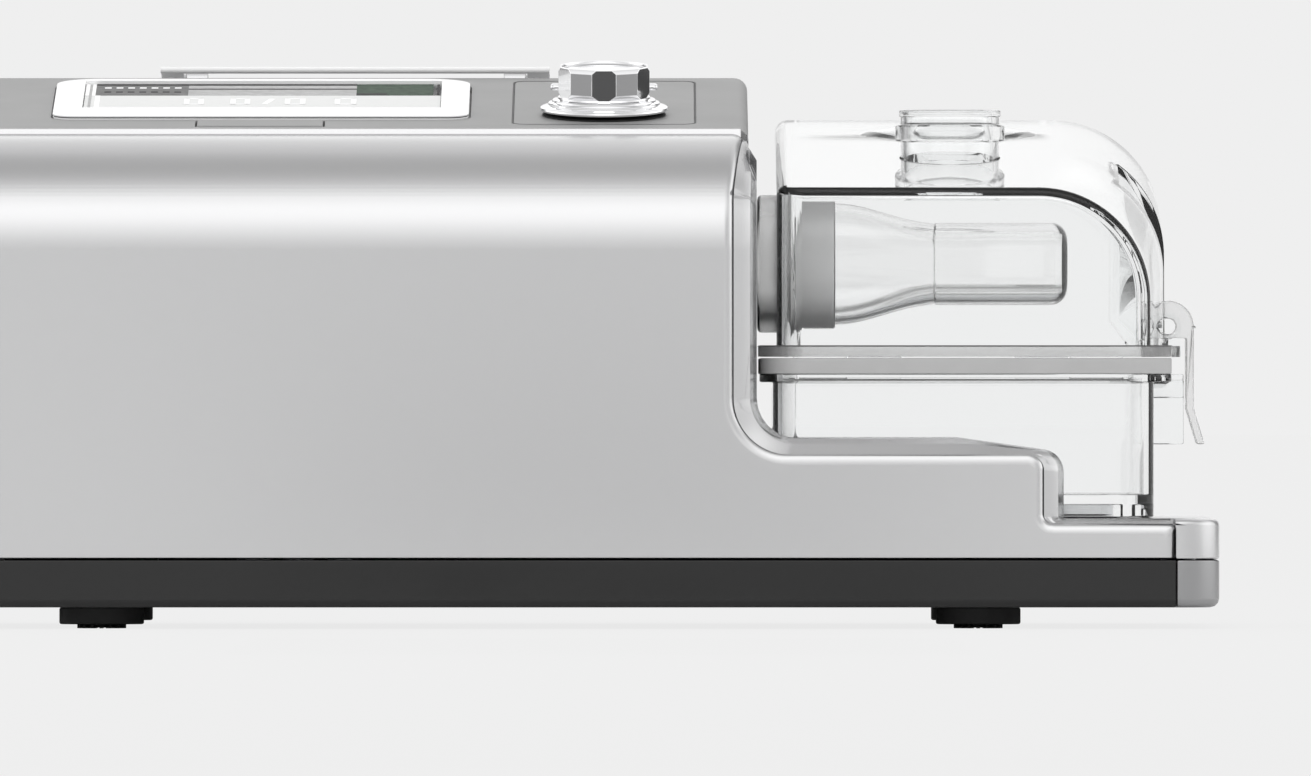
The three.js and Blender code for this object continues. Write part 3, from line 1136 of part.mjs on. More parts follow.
function tankLid() {
  const outer = cut(lidHull(0, LID_Z), latchPocket(0));
  const inner = cut(lidHull(TANK_WALL, LID_Z - 5), latchPocket(TANK_WALL));
  const flange = cut(
    join(upright(tankPlan(FLANGE_OUT, FLANGE_OUT_RIGHT), LID_Z, LID_FLANGE_TOP),
      block(TANK_RIGHT, KEEPER_RIGHT - 0.2, TANK_MID_Y - 6, TANK_MID_Y + 6, LID_Z, LID_FLANGE_TOP)),
    common(lidHull(0.5, LID_Z - 1), block(-FAR, FAR, -FAR, FAR, 0, LID_FLANGE_TOP + 1)));
  const floor = common(join(upright(tankPlan(0), LID_Z, LID_FLANGE_TOP)),
    block(LID_RIGHT + LID_BULGE - POCKET_DEPTH - 2.2 - TANK_WALL, FAR, TANK_MID_Y - POCKET_WIDTH / 2 - TANK_WALL,
      TANK_MID_Y + POCKET_WIDTH / 2 + TANK_WALL, 0, FAR));
  const pinHole = rodAlongY(LATCH_PIN_RADIUS + CLEAR, TANK_MID_Y - FAR, TANK_MID_Y + FAR, LATCH_X, LATCH_Z, 12);
  const shell = cut(join(cut(outer, inner), flange, floor, ...latchEars().map((ear) => cut(ear, pinHole))),
    rod(OUTLET_RADIUS + CLEAR, LID_FLANGE_TOP + 5, FAR, OUTLET_X, OUTLET_Y, 32),
    rodAlongX(SEAL_BORE, LID_LEFT - 5, LID_LEFT + TANK_WALL + 1, TANK_MID_Y, DUCT_Z));
  return withKnuckles(shell, true, LID_Z, LID_FLANGE_TOP);
}

const outletTopZ = OUTLET_FOOT_Z + OUTLET_RISE;

function outletPort() {
  const collarTop = outletTopZ - OUTLET_COLLAR_DROP;
  const under = collarTop - OUTLET_COLLAR_HEIGHT;
  return upTurned([
    [OUTLET_BORE, outletTopZ - OUTLET_RISE - OUTLET_DROP],
    [OUTLET_RADIUS, outletTopZ - OUTLET_RISE - OUTLET_DROP],
    [OUTLET_RADIUS, under],
    [OUTLET_RADIUS + OUTLET_COLLAR, under + 0.4],
    [OUTLET_RADIUS + OUTLET_COLLAR, collarTop],
    [OUTLET_RADIUS, collarTop + 0.3],
    [OUTLET_RADIUS, outletTopZ - OUTLET_RIM_HEIGHT],
    [OUTLET_RADIUS + OUTLET_RIM, outletTopZ - OUTLET_RIM_HEIGHT + 0.3],
    [OUTLET_RADIUS + OUTLET_RIM, outletTopZ],
    [OUTLET_BORE + 0.4, outletTopZ],
    [OUTLET_BORE, outletTopZ - 0.6],
  ], OUTLET_X, OUTLET_Y, 40);
}

// A ring across X for the duct: from a circle at share 0 to a rounded slot at share 1
function ductRing(x, share, inset) {
  const points = [];
  const count = 28;
  for (let i = 0; i < count; i += 1) {
    const angle = ((i + 0.5) * 2 * Math.PI) / count;
    const [c, s] = [Math.cos(angle), Math.sin(angle)];
    const power = 0.5;
    const slotY = ((DUCT_TUBE_WIDTH / 2 - inset) * Math.sign(c)) * Math.abs(c) ** power;
    const slotZ = ((DUCT_TUBE_HEIGHT / 2 - inset) * Math.sign(s)) * Math.abs(s) ** power;
    const y = THREE.MathUtils.lerp((DUCT_RADIUS - inset) * c, slotY, share);
    const z = THREE.MathUtils.lerp((DUCT_RADIUS - inset) * s, slotZ, share);
    points.push(new THREE.Vector3(x, TANK_MID_Y + y, DUCT_Z + z));
  }
  return points;
}

const ductX0 = LID_LEFT + TANK_WALL + CLEAR;
const ductX1 = ductX0 + DUCT_SOCKET;
const ductX2 = ductX1 + DUCT_FUNNEL;
const ductX3 = ductX2 + DUCT_TUBE;

function inletDuct() {
  const funnel = [0.25, 0.5, 0.75];
  const bend = (share) => THREE.MathUtils.smoothstep(share, 0, 1);
  const outer = lofted([
    ductRing(ductX0, 0, 0),
    ductRing(ductX1, 0, 0),
    ...funnel.map((share) => ductRing(ductX1 + share * DUCT_FUNNEL, bend(share), 0)),
    ductRing(ductX2, 1, 0),
    ductRing(ductX3 - DUCT_END_ROUND, 1, 0),
    ductRing(ductX3 - 0.3 * DUCT_END_ROUND, 1, 0.3 * DUCT_END_ROUND),
    ductRing(ductX3, 1, DUCT_END_ROUND),
  ]);
  const inner = lofted([
    ductRing(ductX0 - 1, 0, DUCT_WALL),
    ductRing(ductX1, 0, DUCT_WALL),
    ...funnel.map((share) => ductRing(ductX1 + share * DUCT_FUNNEL, bend(share), DUCT_WALL)),
    ductRing(ductX2, 1, DUCT_WALL),
    ductRing(ductX3 - DUCT_WALL, 1, DUCT_WALL),
  ]);
  const slot = block(ductX3 - DUCT_SLOT_FROM_END - DUCT_SLOT_LENGTH, ductX3 - DUCT_SLOT_FROM_END, TANK_MID_Y, TANK_MID_Y + DUCT_TUBE_WIDTH,
    DUCT_Z - 5, DUCT_Z + 5);
  return cut(outer, inner, slot);
}

function inletSeal() {
  const [x0, x1] = [BODY_RIGHT + CLEAR, LID_LEFT];
  const ring = turned([[SEAL_BORE, x0], [SEAL_COLLAR_RADIUS - 1, x0], [SEAL_COLLAR_RADIUS, x0 + 1],
    [SEAL_COLLAR_RADIUS, x1], [SEAL_BORE, x1]], 32);
  return toSolid(ring.rotateY(Math.PI / 2).translate(0, TANK_MID_Y, DUCT_Z));
}

// Latch seen from the front: a hook round the pin, a wall down past the flanges, a finger tab
function lidLatch() {
  const out = LATCH_X + LATCH_RADIUS;
  const bottom = LATCH_Z - LATCH_DROP;
  const wall = outline([
    [LATCH_FACE, LATCH_Z],
    [LATCH_FACE, bottom + 8],
    [LATCH_FACE + LATCH_TAB_OUT, bottom],
    [out + LATCH_TAB_OUT, bottom],
    [out, bottom + 8],
    [out, LATCH_Z],
  ]);
  const half = LATCH_WIDTH / 2;
  const [y0, y1] = [TANK_MID_Y - half, TANK_MID_Y + half];
  const head = common(rodAlongY(LATCH_RADIUS, y0, y1, LATCH_X, LATCH_Z, 32),
    join(block(LATCH_X - LATCH_HOOK, FAR, -FAR, FAR, LATCH_Z, FAR), block(LATCH_X, FAR, -FAR, FAR, LATCH_Z - 2.6, FAR),
      rodAlongY(2.9, y0, y1, LATCH_X, LATCH_Z, 20)));
  return cut(join(head, alongY(wall, y0, y1)),
    rodAlongY(LATCH_PIN_RADIUS + CLEAR, y0 - 1, y1 + 1, LATCH_X, LATCH_Z, 12));
}

function latchPin() {
  const half = EAR_Y + LATCH_EAR - 0.2;
  return rodAlongY(LATCH_PIN_RADIUS, TANK_MID_Y - half, TANK_MID_Y + half, LATCH_X, LATCH_Z, 12);
}

function hingePin() {
  const half = HINGE_SPREAD + KNUCKLE_LENGTH;
  return rodAlongX(HINGE_PIN_RADIUS, TANK_MID_X - half, TANK_MID_X + half, HINGE_Y, HINGE_Z, 12);
}

const finish = (color, roughness, metalness = 0, opacity = 1) => new THREE.MeshStandardMaterial({
  color, roughness, metalness, opacity, transparent: opacity < 1,
});
const silver = finish('#c0c0c2', 0.35, 0.6);
const lightShell = finish('#c8c8ca', 0.4, 0.3);
const greyShell = finish('#a8a8aa', 0.45);
const deckGrey = finish('#b4b4b4', 0.5);
const gloss = finish('#f6f6f6', 0.15);
const blackGloss = finish('#353535', 0.25);
const chrome = finish('#e0e0e0', 0.08, 1);
const rubber = finish('#1c1c1c', 0.8);
const clear = finish('#eef2f4', 0.05, 0, 0.3);
const frosted = finish('#dcdcde', 0.5, 0, 0.7);
const sealGrey = finish('#ababab', 0.6);
const handleGrey = finish('#d4d4d4', 0.5);
const steel = finish('#c4c6c8', 0.3, 1);
const aluminium = finish('#d0d2d4', 0.3, 1);
const boardGreen = finish('#2c5a3c', 0.6);
const darkPlastic = finish('#2a2a2c', 0.5);
const innerPlastic = finish('#7d8084', 0.5);
const foam = finish('#e8e8e4', 0.95);
const glass = finish('#5a6468', 0.05, 0, 0.5);

function mesh(name, solid, material) {
  const piece = new THREE.Mesh(solid instanceof THREE.BufferGeometry ? solid : toGeometry(solid), material);
  piece.name = name;
  return piece;
}

const machine = new THREE.Group();

const housing = new THREE.Group();
housing.add(
  mesh('lower_shell', lowerShell(), greyShell),
  mesh('upper_shell', upperShell(), lightShell),
  mesh('front_fascia', frontBand(FASCIA_THICKNESS, 0, 0), silver),
  mesh('front_strip', frontStrip(), blackGloss),
  mesh('handle_pin_left', handlePin(-1), steel),
  mesh('handle_pin_right', handlePin(1), steel),
  mesh('carry_handle', carryHandle(), handleGrey),
  mesh('filter_frame', filterFrame(), innerPlastic),
  mesh('air_filter', airFilter(), foam),
  mesh('filter_door', filterDoor(), greyShell),
  mesh('filter_door_pin', filterDoorPin(), steel),
  mesh('power_inlet', powerInlet(), darkPlastic),
);
for (const [place, x, y] of feetAt) {
  const piece = mesh(`foot_${place}`, foot(), rubber);
  piece.position.set(x, y, 0);
  housing.add(piece);
}
screwsAt.forEach(([x, y], i) => {
  const piece = mesh(`base_screw_${i + 1}`, baseScrew(), steel);
  piece.position.set(x, y, 0);
  housing.add(piece);
});
machine.add(housing);

const insides = new THREE.Group();
insides.add(
  mesh('main_board', mainBoard(), boardGreen),
  mesh('inner_chassis', innerChassis(), innerPlastic),
  mesh('blower_mount', blowerMount(), rubber),
  mesh('blower_housing', blowerHousing(), innerPlastic),
  mesh('blower_cover', blowerCover(), innerPlastic),
  mesh('blower_motor', blowerMotor(), steel),
  mesh('impeller', impeller(), darkPlastic),
  mesh('impeller_shaft', impellerShaft(), steel),
  mesh('outlet_duct', outletDuct(), innerPlastic),
  mesh('heater_plate', heaterPlate(), steel),
  mesh('heater_carrier', heaterCarrier(), darkPlastic),
);
machine.add(insides);

const deck = new THREE.Group();
deck.position.set(0, DECK_Y, DECK_Z);
deck.rotation.x = SLOPE;
deck.add(
  mesh('deck_panel', deckPanel(), deckGrey),
  mesh('display_bezel', displayBezel(), gloss),
  mesh('display_window', displayWindow(), glass),
  mesh('display_module', displayModule(), darkPlastic),
  mesh('display_button', displayButton(), deckGrey),
  mesh('control_board', controlBoard(), boardGreen),
  mesh('knob_inset', knobInset(), deckGrey),
  mesh('knob_ring', knobRing(), rubber),
  mesh('knob', knob(), chrome),
  mesh('knob_shaft', knobShaft(), steel),
  mesh('encoder_sleeve', encoderSleeve(), steel),
  mesh('encoder_body', encoderBody(), darkPlastic),
);
machine.add(deck);

const tank = new THREE.Group();
tank.add(
  mesh('tank_tub', tankTub(), clear),
  mesh('tank_base_plate', tankBasePlate(), aluminium),
  mesh('tank_seal', tankSeal(), sealGrey),
  mesh('tank_hinge_pin', hingePin(), steel),
  mesh('tank_lid', tankLid(), clear),
  mesh('outlet_port', outletPort(), clear),
  mesh('inlet_duct', inletDuct(), frosted),
  mesh('inlet_seal', inletSeal(), sealGrey),
  mesh('lid_latch', lidLatch(), clear),
  mesh('latch_pin', latchPin(), clear),
);
machine.add(tank);

export default machine;
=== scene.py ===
import bpy
import bmesh
import json
import math
from mathutils import Matrix, Vector


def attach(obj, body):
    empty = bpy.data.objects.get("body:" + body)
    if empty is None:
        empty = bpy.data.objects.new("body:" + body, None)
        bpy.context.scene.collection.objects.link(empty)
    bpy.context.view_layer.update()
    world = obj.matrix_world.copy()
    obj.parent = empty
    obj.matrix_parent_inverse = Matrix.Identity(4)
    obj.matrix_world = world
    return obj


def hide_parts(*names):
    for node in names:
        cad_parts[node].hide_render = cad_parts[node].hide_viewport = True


# Sizes below are in millimetres, as in the part's source, and turned to metres in the meshes.
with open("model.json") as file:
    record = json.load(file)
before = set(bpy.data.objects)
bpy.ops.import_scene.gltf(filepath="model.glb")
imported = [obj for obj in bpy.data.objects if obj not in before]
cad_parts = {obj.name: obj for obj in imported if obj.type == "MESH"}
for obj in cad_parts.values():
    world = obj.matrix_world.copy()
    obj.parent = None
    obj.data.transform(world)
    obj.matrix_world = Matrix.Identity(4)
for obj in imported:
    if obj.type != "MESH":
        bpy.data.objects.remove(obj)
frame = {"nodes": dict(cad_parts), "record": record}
nodes = frame["nodes"]
bodies = frame["record"]["behaviour"]["bodies"]
body_of = {node: body for body, members in bodies.items() for node in members}
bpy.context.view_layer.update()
scene = bpy.context.scene
scene.view_settings.view_transform = "Standard"

MM = 0.001
HALF_LENGTH = 140.5
FRONT = -85.0
BODY_RIGHT = 38.6
SPLIT = 15.4
BASE_TOP = 24.3
BEND_Z = 83.4
BEND_RADIUS = 26.0
DECK_ANGLE = math.radians(7)
BEND_SWEEP = math.pi / 2 - DECK_ANGLE
BEND_END_Y = FRONT + BEND_RADIUS * (1 - math.cos(BEND_SWEEP))
BEND_END_Z = BEND_Z + BEND_RADIUS * math.sin(BEND_SWEEP)
DECK_Y = BEND_END_Y + 0.3
DECK_Z = BEND_END_Z + 1.1
DECK_BACK_Y = 36.3
DECK_LENGTH = (DECK_BACK_Y - DECK_Y) / math.cos(DECK_ANGLE)
DISPLAY_X = -71.1
KNOB_X = 4.9
KNOB_FROM_FRONT = 25.6
TANK_LEFT = 42.2
TANK_RIGHT = 126.2
TANK_FRONT = -70.0
TANK_BACK = 54.0
TANK_MID = -8.0
DUCT_Z = 80.6
LID_Z = 59.9
LID_TOP_Z = 62.4
LID_FRONT_Z = 97.1
LID_RISE = math.tan(math.radians(7.4))
OUTLET = (81.65, -16.0)
OUTLET_FOOT = LID_FRONT_Z + (OUTLET[1] - TANK_FRONT) * LID_RISE
deck_place = Matrix.Translation((0, DECK_Y * MM, DECK_Z * MM)) @ Matrix.Rotation(DECK_ANGLE, 4, "X")

# Sockets of a mix node for colours
MIX_SHARE, MIX_FIRST, MIX_SECOND, MIX_RESULT = 0, 6, 7, 2


# Node-based materials

def grey(level):
    return (level, level, level)


class Look:
    """A material and its nodes, with short calls for the things that each finish needs."""

    def __init__(self, name, **values):
        self.material = bpy.data.materials.new(name)
        self.material.use_nodes = True
        self.tree = self.material.node_tree
        self.shader = self.tree.nodes["Principled BSDF"]
        self.place = self.tree.nodes.new("ShaderNodeTexCoord").outputs["Object"]
        for label, value in values.items():
            self.shader.inputs[label.replace("_", " ").title().replace("Ior", "IOR")].default_value = value

    def node(self, kind, **values):
        made = self.tree.nodes.new(kind)
        for name, value in values.items():
            if hasattr(made, name):
                setattr(made, name, value)
            else:
                made.inputs[name.replace("_", " ").title()].default_value = value
        return made

    def link(self, start, end):
        self.tree.links.new(start, end)

    def stretched(self, scale):
        mapping = self.node("ShaderNodeMapping")
        mapping.inputs["Scale"].default_value = scale
        self.link(self.place, mapping.inputs["Vector"])
        return mapping.outputs["Vector"]

    def noise(self, scale, detail=3.0, roughness=0.5, along=None):
        made = self.node("ShaderNodeTexNoise", scale=scale, detail=detail, roughness=roughness)
        self.link(along or self.place, made.inputs["Vector"])
        return made.outputs["Fac"]

    def spread(self, value, low, high, start, end):
        made = self.node("ShaderNodeMapRange", from_min=start, from_max=end, to_min=low, to_max=high)
        self.link(value, made.inputs["Value"])
        return made.outputs["Result"]

    def colour(self, value, dark, light):
        """Base colour from dark to light over a pattern."""
        made = self.node("ShaderNodeMix", data_type="RGBA")
        made.inputs[MIX_FIRST].default_value = (*dark, 1)
        made.inputs[MIX_SECOND].default_value = (*light, 1)
        self.link(self.spread(value, 0, 1, 0.3, 0.7), made.inputs[MIX_SHARE])
        self.link(made.outputs[MIX_RESULT], self.shader.inputs["Base Color"])

    def gloss(self, value, low, high, start=0.0, end=1.0):
        """Roughness from low to high over a pattern."""
        self.link(self.spread(value, low, high, start, end), self.shader.inputs["Roughness"])

    def bump(self, height, depth, strength):
        made = self.node("ShaderNodeBump", strength=strength, distance=depth)
        self.link(height, made.inputs["Height"])
        self.link(made.outputs["Normal"], self.shader.inputs["Normal"])


def moulded_plastic(name, dark, light, roughness, depth=0.00003, **values):
    """Satin moulded plastic: faint mottling, a fine spark-eroded grain and uneven gloss."""
    look = Look(name, **values)
    look.colour(look.noise(14, 4), dark, light)
    look.gloss(look.noise(60, 5), roughness - 0.05, roughness + 0.06)
    look.bump(look.noise(2600, 2), depth, 0.35)
    return look.material


def gloss_plastic(name, dark, light, roughness):
    """Polished plastic: a slight ripple from the mould and faint wiped marks in the gloss."""
    look = Look(name)
    look.colour(look.noise(8, 3), dark, light)
    look.gloss(look.noise(35, 6, 0.6, look.stretched((1, 4, 1))), roughness, roughness + 0.07, 0.35, 0.75)
    look.bump(look.noise(45, 2), 0.00002, 0.25)
    return look.material


def silver_paint():
    """Fine metallic paint under a satin clear coat."""
    look = Look("silver_paint", metallic=0.9, coat_weight=0.12, coat_roughness=0.2)
    look.colour(look.noise(5200, 2), (0.612, 0.612, 0.616), (0.624, 0.624, 0.63))
    look.gloss(look.noise(700, 3), 0.24, 0.26)
    look.bump(look.noise(5200, 1), 0.0000006, 0.06)
    return look.material


def brushed_metal(name, dark, light, roughness):
    """Metal with fine parallel scratches."""
    look = Look(name, metallic=1.0)
    lines = look.noise(220, 4, 0.6, look.stretched((1, 60, 60)))
    look.colour(lines, dark, light)
    look.gloss(lines, roughness - 0.06, roughness + 0.1)
    look.bump(lines, 0.00002, 0.3)
    return look.material


def polished_chrome():
    look = Look("polished_chrome", metallic=1.0)
    haze = look.noise(70, 5, 0.6)
    look.colour(haze, (0.84, 0.84, 0.85), (0.9, 0.9, 0.91))
    look.gloss(haze, 0.025, 0.07)
    look.bump(look.noise(500, 2), 0.000004, 0.1)
    return look.material


def rubber(name, dark, light, roughness=0.7):
    look = Look(name)
    look.colour(look.noise(90, 5), dark, light)
    look.gloss(look.noise(300, 3), roughness - 0.08, roughness + 0.1)
    look.bump(look.noise(2200, 3), 0.00004, 0.5)
    return look.material


def clear_plastic(name, tint, roughness=0.0, ripple=0.000004):
    """Water-clear moulded plastic with a slight flow ripple and hairline wipe marks."""
    look = Look(name, ior=1.49, transmission_weight=1.0)
    look.colour(look.noise(6, 2), tint, tuple(min(1, c + 0.01) for c in tint))
    look.gloss(look.noise(40, 6, 0.65, look.stretched((1, 1, 3))), roughness, roughness + 0.02, 0.6, 0.9)
    look.bump(look.noise(25, 2), ripple, 0.05)
    return look.material


def display_cover():
    """Anti-glare cover over the display, so that it hardly mirrors anything."""
    look = Look("display_cover", ior=1.015, transmission_weight=1.0)
    look.colour(look.noise(6, 2), (0.96, 0.97, 0.97), (0.98, 0.985, 0.985))
    look.gloss(look.noise(900, 2), 0.0, 0.02)
    return look.material


def milky_plastic(name, level, clearness, roughness):
    """Silicone or plastic that lets part of the light through."""
    look = Look(name, ior=1.42, transmission_weight=clearness)
    look.colour(look.noise(9, 3), grey(level), grey(level + 0.015))
    look.gloss(look.noise(120, 4), roughness - 0.04, roughness + 0.04)
    look.bump(look.noise(60, 2), 0.00001, 0.1)
    return look.material


def circuit_board():
    """Green board: masked copper lines seen as a faint raised grid."""
    look = Look("circuit_board")
    lines = look.node("ShaderNodeTexBrick", scale=160, mortar_size=0.05, color1=(0.02, 0.14, 0.06, 1),
                      color2=(0.03, 0.19, 0.08, 1), mortar=(0.06, 0.28, 0.12, 1))
    look.link(look.place, lines.inputs["Vector"])
    look.link(lines.outputs["Color"], look.shader.inputs["Base Color"])
    look.gloss(look.noise(200, 3), 0.35, 0.55)
    look.bump(lines.outputs["Fac"], 0.00003, 0.5)
    return look.material


def filter_fibre():
    look = Look("filter_fibre", sheen_weight=0.4, roughness=0.95)
    strands = look.noise(900, 6, 0.7, look.stretched((1, 1, 0.3)))
    look.colour(strands, (0.7, 0.7, 0.67), (0.93, 0.93, 0.9))
    look.bump(strands, 0.0004, 0.9)
    return look.material


def flat_print(name, dark, light):
    """Matt ink of the marks on the display."""
    look = Look(name, specular_ior_level=0.1)
    look.colour(look.noise(500, 3), dark, light)
    look.gloss(look.noise(900, 2), 0.55, 0.65)
    look.bump(look.noise(3000, 1), 0.000004, 0.2)
    return look.material


looks = {
    "silver": silver_paint(),
    "upper_shell": silver_paint(),
    "lower_shell": moulded_plastic("shell_grey", (0.33, 0.33, 0.335), (0.35, 0.35, 0.355), 0.3, 0.000004,
                                   metallic=0.8),
    "black_gloss": gloss_plastic("black_gloss", grey(0.006), grey(0.010), 0.16),
    "deck_grey": moulded_plastic("deck_grey", grey(0.255), grey(0.27), 0.5),
    "white_gloss": gloss_plastic("white_gloss", grey(0.90), grey(0.93), 0.08),
    "dark_plastic": moulded_plastic("dark_plastic", (0.03, 0.03, 0.032), (0.045, 0.045, 0.047), 0.5),
    "inner_plastic": moulded_plastic("inner_plastic", (0.26, 0.28, 0.30), (0.31, 0.33, 0.35), 0.5),
    "handle_grey": moulded_plastic("handle_grey", grey(0.88), grey(0.9), 0.5),
    "chrome": polished_chrome(),
    "rubber_black": rubber("rubber_black", grey(0.018), grey(0.03)),
    "rubber_grey": rubber("rubber_grey", grey(0.44), grey(0.48), 0.5),
    "steel": brushed_metal("brushed_steel", (0.55, 0.56, 0.57), (0.75, 0.76, 0.77), 0.28),
    "aluminium": brushed_metal("brushed_aluminium", (0.66, 0.67, 0.68), (0.84, 0.85, 0.86), 0.3),
    "clear_plastic": clear_plastic("clear_plastic", (0.985, 0.99, 0.99)),
    "display_glass": display_cover(),
    "frosted_plastic": clear_plastic("frosted_plastic", grey(0.985), 0.07, 0.00002),
    "socket": milky_plastic("socket_sleeve", 0.93, 0.9, 0.3),
    "collar": milky_plastic("duct_collar", 0.97, 0.9, 0.25),
    "latch": milky_plastic("latch_plastic", 0.96, 0.88, 0.15),
    "circuit_board": circuit_board(),
    "filter_foam": filter_fibre(),
}
slot_of = {entry["node"]: entry["material_slot"] for entry in frame["record"]["subparts"]}


# Making and finishing of meshes

def corner_path(corners, steps=12):
    """A closed outline from corners (x, y, radius), each corner rounded by its radius."""
    points = []
    for i, corner in enumerate(corners):
        here = Vector(corner[:2])
        radius = corner[2] if len(corner) > 2 else 0
        if radius <= 0:
            points.append(here)
            continue
        back = (Vector(corners[i - 1][:2]) - here).normalized()
        on = (Vector(corners[(i + 1) % len(corners)][:2]) - here).normalized()
        half = back.angle(on) / 2
        centre = here + (back + on).normalized() * (radius / math.sin(half))
        start = here + back * (radius / math.tan(half)) - centre
        end = here + on * (radius / math.tan(half)) - centre
        sweep = math.atan2(start.x * end.y - start.y * end.x, start.dot(end))
        for k in range(steps + 1):
            turn = sweep * k / steps
            points.append(centre + Vector((start.x * math.cos(turn) - start.y * math.sin(turn),
                                           start.x * math.sin(turn) + start.y * math.cos(turn))))
    return points


def rounded_rectangle(x0, x1, y0, y1, radius, steps=12):
    return corner_path([(x0, y0, radius), (x1, y0, radius), (x1, y1, radius), (x0, y1, radius)], steps)


def ring_of(x, y, radius, sides):
    return [Vector((x + radius * math.cos((i + 0.5) * 2 * math.pi / sides),
                    y + radius * math.sin((i + 0.5) * 2 * math.pi / sides))) for i in range(sides)]


def metres(*values):
    return tuple(c * MM for c in values)


def placed(name, data):
    """A new object in the scene."""
    made = bpy.data.objects.new(name, data)
    scene.collection.objects.link(made)
    return made


def copy_of(node):
    return placed(node + "_copy", nodes[node].data.copy())


def solid_from(points, faces):
    """A closed mesh object from points in millimetres, its faces turned outwards."""
    mesh = bpy.data.meshes.new("solid")
    mesh.from_pydata([tuple(c * MM for c in p) for p in points], [], faces)
    work = bmesh.new()
    work.from_mesh(mesh)
    bmesh.ops.remove_doubles(work, verts=work.verts, dist=1e-7)
    bmesh.ops.recalc_face_normals(work, faces=work.faces)
    work.to_mesh(mesh)
    work.free()
    return placed("solid", mesh)


def skin(rings, looped=False):
    """A skin over rings of equal count, capped at its ends or led back to the first ring."""
    count = len(rings[0])
    points = [p for ring in rings for p in ring]
    faces = []
    for r in range(len(rings) if looped else len(rings) - 1):
        here, after = r * count, (r + 1) % len(rings) * count
        for i in range(count):
            j = (i + 1) % count
            faces.append((here + i, here + j, after + j, after + i))
    if not looped:
        faces.append(tuple(reversed(range(count))))
        faces.append(tuple(range((len(rings) - 1) * count, len(rings) * count)))
    return solid_from(points, faces)


def swept(points, axis, low, high):
    """An outline pushed along X (from Y, Z), Y (from X, Z) or Z (from X, Y)."""
    at = "XYZ".index(axis)
    return skin([[(*p[:at], level, *p[at:]) for p in points] for level in (low, high)])


def turned(profile, x, y, sides):
    """A closed [radius, height] profile turned about an upright axis."""
    angles = [2 * math.pi * i / sides for i in range(sides)]
    rings = [[(x + r * math.cos(a), y + r * math.sin(a), z) for r, z in profile] for a in angles]
    return skin(rings, looped=True)


def box_solid(x0, x1, y0, y1, z0, z1):
    return swept([(x0, y0), (x1, y0), (x1, y1), (x0, y1)], "Z", z0, z1)


def baked(made):
    """Turns an object's live modifiers into its mesh."""
    graph = bpy.context.evaluated_depsgraph_get()
    live = made.evaluated_get(graph)
    mesh = bpy.data.meshes.new_from_object(live, preserve_all_data_layers=True, depsgraph=graph)
    made.modifiers.clear()
    old = made.data
    made.data = mesh
    bpy.data.meshes.remove(old)
    return made


def combine(made, tools, how, solver="EXACT"):
    for tool in tools:
        step = made.modifiers.new(how, "BOOLEAN")
        step.operation = how
        step.object = tool
        step.solver = solver
        baked(made)
        bpy.data.objects.remove(tool)
    return made


def cut(made, *tools):
    return combine(made, tools, "DIFFERENCE")


def join(made, *tools):
    return combine(made, tools, "UNION")


def common(made, *tools):
    return combine(made, tools, "INTERSECT")


def tidy_faces(made):
    """Merges doubles and joins faces that lie in one plane."""
    work = bmesh.new()
    work.from_mesh(made.data)
    bmesh.ops.remove_doubles(work, verts=work.verts, dist=2e-6)
    bmesh.ops.dissolve_degenerate(work, dist=1e-6, edges=work.edges)
    bmesh.ops.dissolve_limit(work, angle_limit=math.radians(0.4), verts=work.verts, edges=work.edges)
    work.to_mesh(made.data)
    work.free()
    return made


def gathered(made_pieces, name):
    """One mesh from several pieces that don't have to be one solid."""
    work = bmesh.new()
    for made in made_pieces:
        work.from_mesh(made.data)
        bpy.data.objects.remove(made)
    mesh = bpy.data.meshes.new(name)
    work.to_mesh(mesh)
    work.free()
    return placed(name, mesh)


def rounded_edges(made, width, segments=3, angle=40):
    """Rounds the sharp edges, so that they catch the light as moulded ones do."""
    step = made.modifiers.new("edges", "BEVEL")
    step.width = width * MM
    step.segments = segments
    step.limit_method = "ANGLE"
    step.angle_limit = math.radians(angle)
    step.use_clamp_overlap = False
    step.miter_outer = "MITER_ARC"
    return baked(made)


def shaded(made, angle):
    """Smooth shading over gentle bends, with the flat faces kept flat."""
    made.data.validate()
    made.data.polygons.foreach_set("use_smooth", [True] * len(made.data.polygons))
    made.data.set_sharp_from_angle(angle=math.radians(angle))
    step = made.modifiers.new("normals", "WEIGHTED_NORMAL")
    step.keep_sharp = True
    step.weight = 80
    return baked(made)


def extra(made, name, slot, body="machine", look=None, smooth=32):
    """Finishes a piece that stands beside the CAD nodes, such as a print or a small part."""
    shaded(made, smooth)
    made.name = name
    made.data.name = name
    made.data.materials.clear()
    made.data.materials.append(look or looks[slot])
    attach(made, body)


def finished(made, name, node, look=None, smooth=32):
    """Finishes a piece and lets it stand for its CAD node."""
    extra(made, name, slot_of[node], body_of[node], look, smooth)
    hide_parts(node)


def dressed(node, rounding=0.0, segments=2, angle=40, look=None):
    """A smooth copy of a CAD node with its sharp edges rounded."""
    made = tidy_faces(copy_of(node))
    if rounding:
        rounded_edges(made, rounding, segments, angle)
    finished(made, node + "_skin", node, look)


# Camera, level and far away as in the photograph

MM_PER_PIXEL = 0.22
PHOTO_WIDTH = 1311
VIEW_CENTRE_X = 16.3
VIEW_CENTRE_Z = 53.0

camera_data = bpy.data.cameras.new("camera")
camera_data.lens = 900
camera_data.sensor_width = 36
camera_data.clip_start = 0.5
camera_data.clip_end = 60
camera = placed("camera", camera_data)
view_width = MM_PER_PIXEL * PHOTO_WIDTH * MM
view_distance = view_width * camera_data.lens / camera_data.sensor_width
camera.location = (VIEW_CENTRE_X * MM, FRONT * MM - view_distance, VIEW_CENTRE_Z * MM)
camera.rotation_euler = (math.radians(90), 0, 0)
scene.camera = camera

